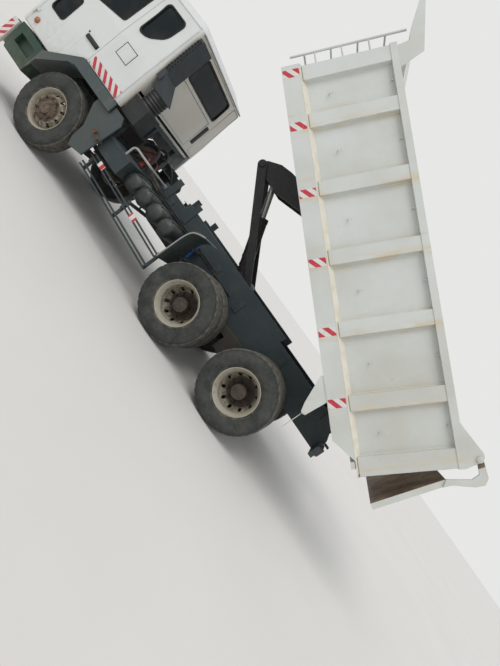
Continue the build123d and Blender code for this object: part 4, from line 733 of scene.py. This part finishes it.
for side, mark in SIDES:
    shape = bmesh.new()
    tyre(shape, FRONT_AXLE, side * FRONT_Y, NOTCHES)
    made = piece(f"treaded_tyre_front_{mark}", shape, f"wheel_front_{mark}",
                 RUBBER["front"], sharp=28)
    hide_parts(f"tyre_front_{mark}")
    for place, axle in (("middle", MIDDLE_AXLE), ("rear", AXLE)):
        shape = bmesh.new()
        for y in TWIN_Y:
            tyre(shape, axle, side * y, LUGS)
        made = piece(f"treaded_tyres_{place}_{mark}", shape, f"wheels_{place}_{mark}",
                     RUBBER[place], sharp=28)
        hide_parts(f"tyres_{place}_{mark}")

# Wheel nuts on the bolt circle, and screws round the hub caps
BOLT_CIRCLE = 0.1675
NUTS, SCREWS = 10, 8


def ring_points(axle, y, radius, count, start=0.0):
    """Points round a wheel's axis."""
    for i in range(count):
        turn = start + 2 * pi * i / count
        yield Vector((axle + radius * cos(turn), y, HUB_HEIGHT + radius * sin(turn)))


for side, mark in SIDES:
    for place, axle, disc_y, cap_y, cap_radius in (
        ("front", FRONT_AXLE, 1.175, 1.192, 0.118),
        ("middle", MIDDLE_AXLE, 0.937, 0.955, 0.126),
        ("rear", AXLE, 0.937, 0.955, 0.126),
    ):
        shape = bmesh.new()
        outwards = Vector((0, side, 0))
        for point in ring_points(axle, side * disc_y, BOLT_CIRCLE, NUTS):
            rod(shape, point - 0.002 * outwards, point + 0.004 * outwards, 0.025, 0.022, 14)
            rod(shape, point, point + 0.024 * outwards, 0.0185, segments=6)
            rod(shape, point, point + 0.037 * outwards, 0.01, segments=10)
        for point in ring_points(axle, side * cap_y, cap_radius, SCREWS, 0.2):
            bolt(shape, point, outwards, 0.009)
        body = f"wheel_front_{mark}" if place == "front" else f"wheels_{place}_{mark}"
        piece(f"wheel_nuts_{place}_{mark}", shape, body, RIMS[place])

# Air tanks with dished ends, on straps
TANK_X = (2.35, 2.62, 2.89, 3.16)
TANK_Y, TANK_Z = 0.75, 0.905
TANK_DOME = ((0.0, 0.52), (0.05, 0.524), (0.092, 0.537), (0.118, 0.56), (0.13, 0.592))
TANK_SEAM = ((0.13, 0.735), (0.132, 0.738), (0.132, 0.762), (0.13, 0.765))
FAR_DOME = [(radius, 2 * TANK_Y - y) for radius, y in reversed(TANK_DOME)]
shape = bmesh.new()
for x in TANK_X:
    turned(shape, (*TANK_DOME, *TANK_SEAM, *FAR_DOME), spot(x, 0, TANK_Z))
    block(shape, spot(x - 0.02, 0.4303, 0.925), spot(x + 0.02, 0.56, 0.995))
    block(shape, spot(x - 0.02, 0.54, 1.029), spot(x + 0.02, 0.94, 1.047))
    for y in (0.62, 0.88):
        hoop(shape, (0.1295, 0.1335), (y - 0.016, y + 0.016), spot(x, 0, TANK_Z))
    rod(shape, spot(x, TANK_Y, 0.745), spot(x, TANK_Y, 0.78), 0.014)
made = piece("dished_air_tanks", shape, "chassis", TANK, sharp=30)
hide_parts("air_tanks")

# Window rubbers. Each is drawn flat as (along, up) and laid on its wall of the cab


def side_skin(side):
    """Lays a drawing on one side of the cab, leaning in above the shoulder."""
    def lay(u, out, v):
        return spot(u, side * (CAB_HALF - SIDE_LEAN * max(0.0, v - SHOULDER_Z) + out), v)
    return lay


def rear_skin(u, out, v):
    """Lays a drawing on the cab's back."""
    return spot(CAB_BACK + BACK_LEAN * max(0.0, v - SHOULDER_Z) - out, u, v)


def front_skin(u, out, v):
    """Lays a drawing on the cab's front."""
    return spot(CAB_FRONT - FRONT_LEAN * max(0.0, v - SHOULDER_Z) + out, u, v)


def drawn_in(outline, amount):
    """An outline moved inwards all round, or outwards for less than nothing."""
    corners = [Vector(point) for point in outline]
    area = sum(a.x * b.y - b.x * a.y for a, b in zip(corners, corners[1:] + corners[:1]))
    turn = 1 if area > 0 else -1
    moved = []
    for before, at, after in zip(corners[-1:] + corners[:-1], corners, corners[1:] + corners[:1]):
        first, second = (at - before).normalized(), (after - at).normalized()
        normals = [turn * Vector((-way.y, way.x)) for way in (first, second)]
        middle = (normals[0] + normals[1]).normalized()
        moved.append(at + middle * amount / max(0.3, middle.dot(normals[0])))
    return moved


def rounded_ring(shape, outline, lay, outer, inner, proud, sunk=0.004):
    """A flat ring round a window, between two outlines given as (moved in, rounded by)."""
    drawn = bmesh.new()
    for amount, round_by in (outer, inner):
        corners = [drawn.verts.new((at.x, 0, at.y)) for at in drawn_in(outline, amount)]
        drawn.faces.new(corners)
        bmesh.ops.bevel(drawn, geom=corners, offset=round_by, segments=6, profile=0.5,
                        affect="VERTICES", material=-1)
    bmesh.ops.delete(drawn, geom=drawn.faces[:], context="FACES_ONLY")
    bmesh.ops.bridge_loops(drawn, edges=drawn.edges[:])
    bmesh.ops.translate(drawn, verts=drawn.verts[:], vec=(0, -sunk, 0))
    grow(drawn, drawn.faces[:], (0, proud + sunk, 0))
    lay_on(shape, drawn, lay)


def window_frame(fillers, rubbers, outline, lay, width=0.02, corner=0.055):
    """Paint that rounds off the opening's corners, and a rubber inside it."""
    rounded_ring(fillers, outline, lay, (-0.003, 0.004), (0.008, corner), 0.001)
    rounded_ring(rubbers, outline, lay, (0.004, corner), (0.004 + width, corner), 0.006)


DOOR_WINDOW = ((4.93, 2.067), (5.86, 1.884), (5.893, 1.99), (5.612, 2.7), (4.93, 2.7))
KERB_WINDOW = ((5.56, 1.379), (5.895, 1.379), (5.895, 1.8), (5.56, 1.807))
QUARTER_WINDOW = ((4.308, 2.708), (4.762, 2.715), (4.735, 2.5), (4.73, 2.135), (4.527, 2.165),
                  (4.32, 2.363))
REAR_WINDOW = ((-0.66, 2.335), (0.66, 2.335), (0.64, 2.74), (-0.64, 2.74))
WINDSCREEN = ((-1.04, 2.01), (1.04, 2.01), (0.975, 2.74), (-0.975, 2.74))
cab_rubbers, cab_fillers = bmesh.new(), bmesh.new()
window_frame(cab_fillers, cab_rubbers, REAR_WINDOW, rear_skin, width=0.026, corner=0.07)
window_frame(cab_fillers, cab_rubbers, WINDSCREEN, front_skin, width=0.03, corner=0.09)
for side, mark in SIDES:
    window_frame(cab_fillers, cab_rubbers, QUARTER_WINDOW, side_skin(side), corner=0.08)
    rubbers, fillers = bmesh.new(), bmesh.new()
    window_frame(fillers, rubbers, DOOR_WINDOW, side_skin(side), corner=0.045)
    window_frame(fillers, rubbers, KERB_WINDOW, side_skin(side), corner=0.06)
    piece(f"window_rubbers_{mark}", rubbers, f"door_{mark}", SEAL)
    piece(f"window_corners_{mark}", fillers, f"door_{mark}", WHITE)
piece("window_rubbers_cab", cab_rubbers, "cab", SEAL)
piece("window_corners_cab", cab_fillers, "cab", WHITE)


def on_wall(shape, lay, low, high, thick, soft=0.002):
    """A flat part laid on a wall of the cab, given by two corners of its drawing."""
    drawn = bmesh.new()
    block(drawn, (low[0], -0.001, low[1]), (high[0], thick, high[1]), soft)
    lay_on(shape, drawn, lay)


# Cab sides: handles, lamps, drip rails, striped bands and bare bordered plates
LAMP_DOME = ((0.0, -0.004), (0.046, -0.004), (0.046, 0.008), (0.04, 0.02), (0.022, 0.029),
             (0.0, 0.032))
PLATE_LOW, PLATE_HIGH = (4.397, 1.732), (4.661, 1.946)
bands, borders, plates, drips = (bmesh.new() for _ in range(4))
for side, mark in SIDES:
    lay = side_skin(side)
    shape = bmesh.new()
    on_wall(shape, lay, (4.872, 1.53), (5.15, 1.596), 0.004)
    on_wall(shape, lay, (4.884, 1.541), (5.136, 1.584), 0.03, 0.008)
    on_wall(shape, lay, (5.15, 1.604), (5.174, 1.628), 0.007, 0.006)
    piece(f"door_handle_{mark}", shape, f"door_{mark}", BLACK)
    shape = bmesh.new()
    turned(shape, LAMP_DOME, lay(5.846, 0, 1.116), (0, side, 0), 32)
    piece(f"door_lamp_{mark}", shape, f"door_{mark}", AMBER_LENS)
    on_wall(bands, lay, (4.122, 1.362), (4.802, 1.49), 0.0015, 0)
    on_wall(plates, lay, PLATE_LOW, PLATE_HIGH, 0.0015, 0)
    for low, high in ((PLATE_LOW, (4.661, 1.741)), ((4.397, 1.937), PLATE_HIGH),
                      (PLATE_LOW, (4.406, 1.946)), ((4.652, 1.732), PLATE_HIGH)):
        on_wall(borders, lay, low, high, 0.003, 0)
    bead(drips, [lay(4.16, 0.002, 2.822), lay(5.7, 0.002, 2.822)], 0.009)
    bead(drips, [lay(x, 0.001, z) for x, z in ((4.12, 1.3), (4.12, 1.95), (4.15, 2.78))], 0.004)
piece("cab_stripe_bands", bands, "cab", CAB_TAPE)
piece("bare_plates", plates, "cab", WHITE)
piece("plate_borders", borders, "cab", BLACK)
piece("drip_rails", drips, "cab", WHITE)

# Cab back: pressed panels and gutters as dark grey beads, painted shade of their creases, and a
# slotted vent over a black plate of painted shade
VENT_SLATS, SLAT_STEP = 12, 0.0305
pressings, dark = bmesh.new(), bmesh.new()
# Pressings and gutters are dark grey beads on the white panel: painted shade in their creases
for outline in (((-0.6, 1.74), (0.7, 1.74), (0.7, 2.285), (-0.6, 2.285)),
                ((-1.045, 1.74), (-0.8, 1.74), (-0.8, 2.775), (-1.045, 2.775))):
    bead(pressings, [rear_skin(u, 0, v) for u, v in outline], 0.007, closed=True)
bead(pressings, [rear_skin(-1.06, 0.002, 2.815), rear_skin(1.06, 0.002, 2.815)], 0.01)
bead(pressings, [rear_skin(-0.72, 0, 2.785), rear_skin(0.72, 0, 2.785)], 0.006)
# A black plate behind the vent's slats: painted shade of the opening
on_wall(dark, rear_skin, (-0.755, 1.86), (-0.64, 2.24), 0.004, 0.003)
for i in range(VENT_SLATS):
    z = 1.872 + SLAT_STEP * i
    on_wall(dark, rear_skin, (-0.748, z), (-0.647, z + 0.012), 0.012, 0.003)
piece("cab_back_pressings", pressings, "cab", EDGE)
piece("cab_back_vent", dark, "cab", BLACK)

# Honeycomb of the intake duct: a black sheet of painted shade for the depth of the cells, under a
# lattice of cells
DUCT_FACE, CELL_STEP, CELL_ROWS = 1.12, 0.048, 11
CELL_WALL = ((0.0195, -0.001), (0.0195, 0.006), (0.0255, 0.007), (0.0255, -0.001))
cell_shade_sheet, lattice = bmesh.new(), bmesh.new()
block(cell_shade_sheet, spot(3.969, DUCT_FACE - 0.001, 2.14), spot(4.046, DUCT_FACE + 0.0008, 2.712), 0)
for row in range(CELL_ROWS):
    for x, lowest in ((3.986, 2.173), (4.029, 2.197)):
        turned(lattice, CELL_WALL, spot(x, DUCT_FACE, lowest + CELL_STEP * row), steps=6)
# The black sheet paints the shade deep inside the cells
piece("duct_cell_shade_sheet", cell_shade_sheet, "cab", SEAL)
piece("duct_lattice", lattice, "cab", SLATE)

# Roof lamps, wipers and lamps of the bumper
roof_lamps, wipers, lenses, bezels = (bmesh.new() for _ in range(4))
LAMP_X = 6.2205
for y in (-0.8, -0.62, 0.62, 0.8):
    block(roof_lamps, spot(5.33, y - 0.045, 2.949), spot(5.4, y + 0.045, 2.975), 0.009)
for y in (-0.45, 0.45):
    root, tip = front_skin(y, 0.04, 1.943), front_skin(y - 0.3, 0.03, 2.36)
    rod(wipers, root - Vector((0.03, 0, 0)), root + Vector((0.012, 0, 0)), 0.018)
    rod(wipers, root, tip, 0.009, 0.005)
    rod(wipers, front_skin(y - 0.4, 0.017, 2.09), front_skin(y - 0.18, 0.017, 2.62), 0.007)
for side in (1, -1):
    for near, far in ((0.665, 0.815), (0.825, 0.975)):
        side_block(lenses, side, (LAMP_X, near, 0.615), (6.243, far, 0.787), 0.014)
    for near, far in ((0.6602, 0.668), (0.972, 0.9798)):
        side_block(bezels, side, (LAMP_X, near, 0.6115), (6.247, far, 0.7905), 0.002)
    for z in (0.6115, 0.7825):
        side_block(bezels, side, (LAMP_X, 0.6602, z), (6.247, 0.9798, z + 0.008), 0.002)
piece("roof_lamps", roof_lamps, "cab", AMBER_LENS)
piece("wipers", wipers, "cab", BLACK)
piece("head_lamps", lenses, "chassis", CLEAR_LENS)
piece("head_lamp_frames", bezels, "chassis", BLACK)

# Warning tape: bumper corners, side guard and the bed's skirts
PATCH_HALF = 0.052
shape = bmesh.new()
for side in (1, -1):
    side_block(shape, side, (5.985, 1.2195, 0.55), (6.098, 1.2215, 0.85), 0)
    slanted = [spot(x, side * y, z) for x, y, z in (
        (6.104, 1.216, 0.55), (6.246, 1.074, 0.55), (6.246, 1.074, 0.85), (6.104, 1.216, 0.85),
    )]
    slab(shape, slanted, (0.0012, side * 0.0012, 0))
piece("bumper_tape", shape, "chassis", BUMPER_TAPE)
shape = bmesh.new()
for x, z in ((3.466, 0.655), (2.6, 0.614)):
    block(shape, spot(x, 1.0995, z), spot(x + 0.112, 1.1045, z + 0.078), 0.001)
piece("guard_markers", shape, "chassis", MARKER_TAPE)
shape = bmesh.new()
for side in (1, -1):
    for a in (4.428, 3.745, 2.899, 2.048, 1.226, 0.404):
        side_block(shape, side, (a - PATCH_HALF, BED_HALF - 0.001, 0.01),
                   (a + PATCH_HALF, BED_HALF + 0.0015, 0.213), 0, place=lambda *at: at)
piece("skirt_tape", shape, "bed", SKIRT_TAPE, place=BED)

# Mirror faces
for side, mark in SIDES:
    shape = bmesh.new()
    side_block(shape, side, (5.9275, 1.262, 2.02), (5.9315, 1.438, 2.36), 0.0015)
    piece(f"mirror_face_{mark}", shape, f"door_{mark}", MIRROR)

# Bed sides: rope hooks, weld beads and the bevel over the skirt's ledge
hooks, welds = bmesh.new(), bmesh.new()
for side in (1, -1):
    for a in (0.03, 0.81, 1.66, 2.51, 3.36, 4.09):
        for n, reach in ((0.53, 0.04), (1.262, 0.03)):
            y = side * SHEET_Y
            out = y + side * reach
            points = [(a, y - side * 0.002, n), (a, out, n), (a, out, n + 0.042)]
            bead(hooks, points, 0.0065)
            rod(hooks, (a, y - side * 0.001, n), (a, y + side * 0.004, n), 0.016, 0.012)
    rib_edges = [FIRST_RIB + RIB_STEP * i + edge for i in range(RIBS) for edge in (-0.1, 0.1)]
    for a in (*rib_edges, -0.202, 4.3):
        bead(welds, [(a, side * SHEET_Y, n) for n in (0.27, 1.298)], 0.0045)
    bead(welds, [(-0.43, side * 1.2485, 0.2255), (4.53, side * 1.2485, 0.2255)], 0.004)
piece("rope_hooks", hooks, "bed", BED_PLAIN, place=BED)
piece("rib_welds", welds, "bed", CREAM, place=BED)
shape = bmesh.new()
for side in (1, -1):
    bevel = [(-0.4, side * y, n) for y, n in ((1.2498, 0.2262), (1.1795, 0.2262), (1.1795, 0.285))]
    slab(shape, bevel, (4.9, 0, 0))
piece("skirt_ledges", shape, "bed", CREAM, place=BED)

# Chassis fittings: rail bolts, subframe clamps and brake chambers
RAIL_BOLTS, RAIL_BOLT_STEP = 26, 0.262
CLAMP_FACE = RAIL + 0.012
CHAMBER = ((0.0, -0.085), (0.06, -0.085), (0.078, -0.06), (0.078, -0.004), (0.092, -0.004),
           (0.092, 0.006), (0.078, 0.006), (0.078, 0.06), (0.06, 0.085), (0.0, 0.085))
bolts, clamps, chambers = (bmesh.new() for _ in range(3))
for side in (1, -1):
    for i in range(RAIL_BOLTS):
        x = -0.98 + RAIL_BOLT_STEP * i
        for z in (0.835, 1.01):
            bolt(bolts, spot(x, side * (RAIL + 0.0005), z), (0, side, 0), 0.01)
    for x in (-0.6, 0.05, 1.02, 1.62, 2.22, 2.84):
        side_block(clamps, side, (x - 0.05, RAIL - 0.001, 0.965), (x + 0.05, CLAMP_FACE, 1.165),
                   0.004)
        for dx in (-0.03, 0.03):
            for z in (0.985, 1.035, 1.095, 1.145):
                bolt(clamps, spot(x + dx, side * CLAMP_FACE, z), (0, side, 0), 0.01)
    for axle in (0.0, 1.33):
        for way in (-1, 1):
            turned(chambers, CHAMBER, spot(axle + way * 0.155, side * 0.3, 0.6), steps=32)
piece("rail_bolts", bolts, "chassis", CHASSIS)
piece("subframe_clamps", clamps, "chassis", CHASSIS)
piece("brake_chambers", chambers, "chassis", UNDERSIDE, sharp=30)

# Behind the cab: rigid pipes from the engine, a red pump body and rusty pipe stubs
pipes, pump, stubs = (bmesh.new() for _ in range(3))
for shape, radius, points in (
    (pipes, 0.028, ((4.0, 0.2, 1.24), (3.8, 0.22, 1.44), (3.6, 0.3, 1.36), (3.52, 0.4, 1.12),
                    (3.52, 0.426, 1.03))),
    (pipes, 0.018, ((4.0, 0.05, 1.28), (3.78, 0.02, 1.5), (3.55, 0.1, 1.42), (3.45, 0.3, 1.15),
                    (3.45, 0.424, 1.04))),
    (pipes, 0.022, ((3.98, -0.15, 1.26), (3.74, -0.18, 1.42), (3.5, -0.25, 1.3),
                    (3.4, -0.4, 1.05))),
    (pipes, 0.011, ((3.96, 0.28, 1.05), (3.78, 0.34, 1.18), (3.64, 0.42, 1.2),
                    (3.3, 0.44, 1.075), (2.6, 0.446, 1.075), (1.6, 0.446, 1.075))),
    (pipes, 0.009, ((3.96, 0.24, 1.00), (3.74, 0.36, 1.12), (3.56, 0.43, 1.14),
                    (3.26, 0.445, 1.045), (2.6, 0.447, 1.045), (1.2, 0.447, 1.045))),
    (pump, 0.014, ((3.97, 0.1, 1.16), (3.84, 0.12, 1.3), (3.68, 0.2, 1.3), (3.6, 0.3, 1.16))),
    (pump, 0.009, ((3.97, 0.02, 1.1), (3.8, 0.00, 1.22), (3.62, 0.1, 1.26), (3.48, 0.24, 1.12),
                   (3.44, 0.32, 1.00))),
):
    tube(shape, [spot(*point) for point in points], radius)
PUMP = ((0.0, -0.09), (0.04, -0.09), (0.052, -0.08), (0.052, 0.03), (0.03, 0.045),
        (0.03, 0.075), (0.022, 0.085), (0.0, 0.085))
turned(pump, PUMP, spot(3.62, 0.352, 1.14), (0, 0, 1), 32)
block(pump, spot(3.585, 0.35, 1.055), spot(3.655, 0.43, 1.075), 0.004)
for x, z in ((3.9, 0.905), (3.8, 0.865)):
    rod(stubs, spot(x, 0.62, z), spot(x, 1.236, z), 0.024)
    hoop(stubs, (0.018, 0.03), (0.0, 0.022), spot(x, 1.218, z), steps=24)
piece("engine_pipes", pipes, "chassis", HOSE)
piece("red_pump", pump, "chassis", RED, sharp=30)
piece("rusty_stubs", stubs, "chassis", RUSTY)

# Mudguard beads, lighter than the guards: worn paint with a painted highlight along the rolled
# edge. Lamps at the tail
shape = bmesh.new()
edge = ((1.998, 0.65), (1.99, 0.88), (1.983, 1.11), (1.93, 1.235), (1.784, 1.287))
for side in (1, -1):
    tube(shape, [spot(x, side * 1.19, z) for x, z in edge], 0.01)
piece("mudguard_beads", shape, "chassis", EDGE)
for name, spans, finish in (
    ("red", ((0.63, 0.76), (0.9, 1.03)), RED_LENS), ("amber", ((0.77, 0.89),), AMBER_LENS),
):
    shape = bmesh.new()
    for side in (1, -1):
        for near, far in spans:
            side_block(shape, side, (-1.152, near, 0.862), (-1.139, far, 0.948), 0.005)
    piece(f"tail_lamps_{name}", shape, "chassis", finish)

# Hoist: pin heads, and a rigid oil pipe beside the barrel
ARM_BASE, KNEE = spot(1.265, 0, 1.311), spot(2.583, 0, 2.499)
BARREL_BASE, ROD_EYE = spot(1.443, 0, 1.286), spot(2.315, 0, 2.509)
for name, body, centre, face, radius in (
    ("base", "chassis", ARM_BASE, 0.19, 0.043), ("knee", "hoist_arm", KNEE, 0.159, 0.046),
):
    shape = bmesh.new()
    head = ((0.0, -0.001), (radius, -0.001), (radius, 0.011), (radius - 0.004, 0.015), (0.0, 0.015))
    for side in (1, -1):
        outwards = Vector((0, side, 0))
        at = centre + face * outwards
        turned(shape, head, at, outwards, 32)
        rod(shape, at + 0.01 * outwards, at + 0.026 * outwards, 0.007, segments=10)
    piece(f"hoist_{name}_pin_heads", shape, body, HOIST)
shape = bmesh.new()
run = (ROD_EYE - BARREL_BASE).normalized()
beside_barrel = ((0.1, 0.088), (0.11, 0.106), (0.16, 0.108), (0.3, 0.108), (0.37, 0.106),
                 (0.38, 0.088))
tube(shape, [BARREL_BASE + along * run + Vector((0, y, 0)) for along, y in beside_barrel], 0.009)
for along in (0.2, 0.33):
    hoop(shape, (0.0945, 0.101), (-0.016, 0.016), BARREL_BASE + along * run, run, 40)
piece("barrel_oil_pipe", shape, "hoist_cylinder", HOIST)

# Right side: straps and cap of the fuel tank. Tail: a bare plate
shape = bmesh.new()
for x in (2.56, 3.21):
    block(shape, spot(x - 0.025, -1.1335, 0.575), spot(x + 0.025, -1.1295, 0.975))
    block(shape, spot(x - 0.025, -1.075, 1.0295), spot(x + 0.025, -0.44, 1.0335))
FUEL_CAP = ((0.0, -0.002), (0.036, -0.002), (0.036, 0.02), (0.052, 0.022), (0.052, 0.046),
            (0.046, 0.052), (0.0, 0.052))
turned(shape, FUEL_CAP, spot(2.88, -0.86, 1.03), (0, 0, 1), 32)
piece("tank_straps", shape, "chassis", TANK)
shape = bmesh.new()
block(shape, spot(-1.1435, 0.21, 0.84), spot(-1.139, 0.57, 0.955), 0.0015)
piece("bare_tail_plate", shape, "chassis", WHITE)

# Tailgate pin heads
shape = bmesh.new()
for side in (1, -1):
    turned(shape, ((0.0, 0.0), (0.036, 0.0), (0.036, 0.01), (0.03, 0.014), (0.0, 0.014)),
           (GATE_PIN[0], side * 1.2595, GATE_PIN[1]), (0, side, 0), 32)
piece("gate_pin_heads", shape, "bed", BED_PLAIN, place=BED)

low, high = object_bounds()
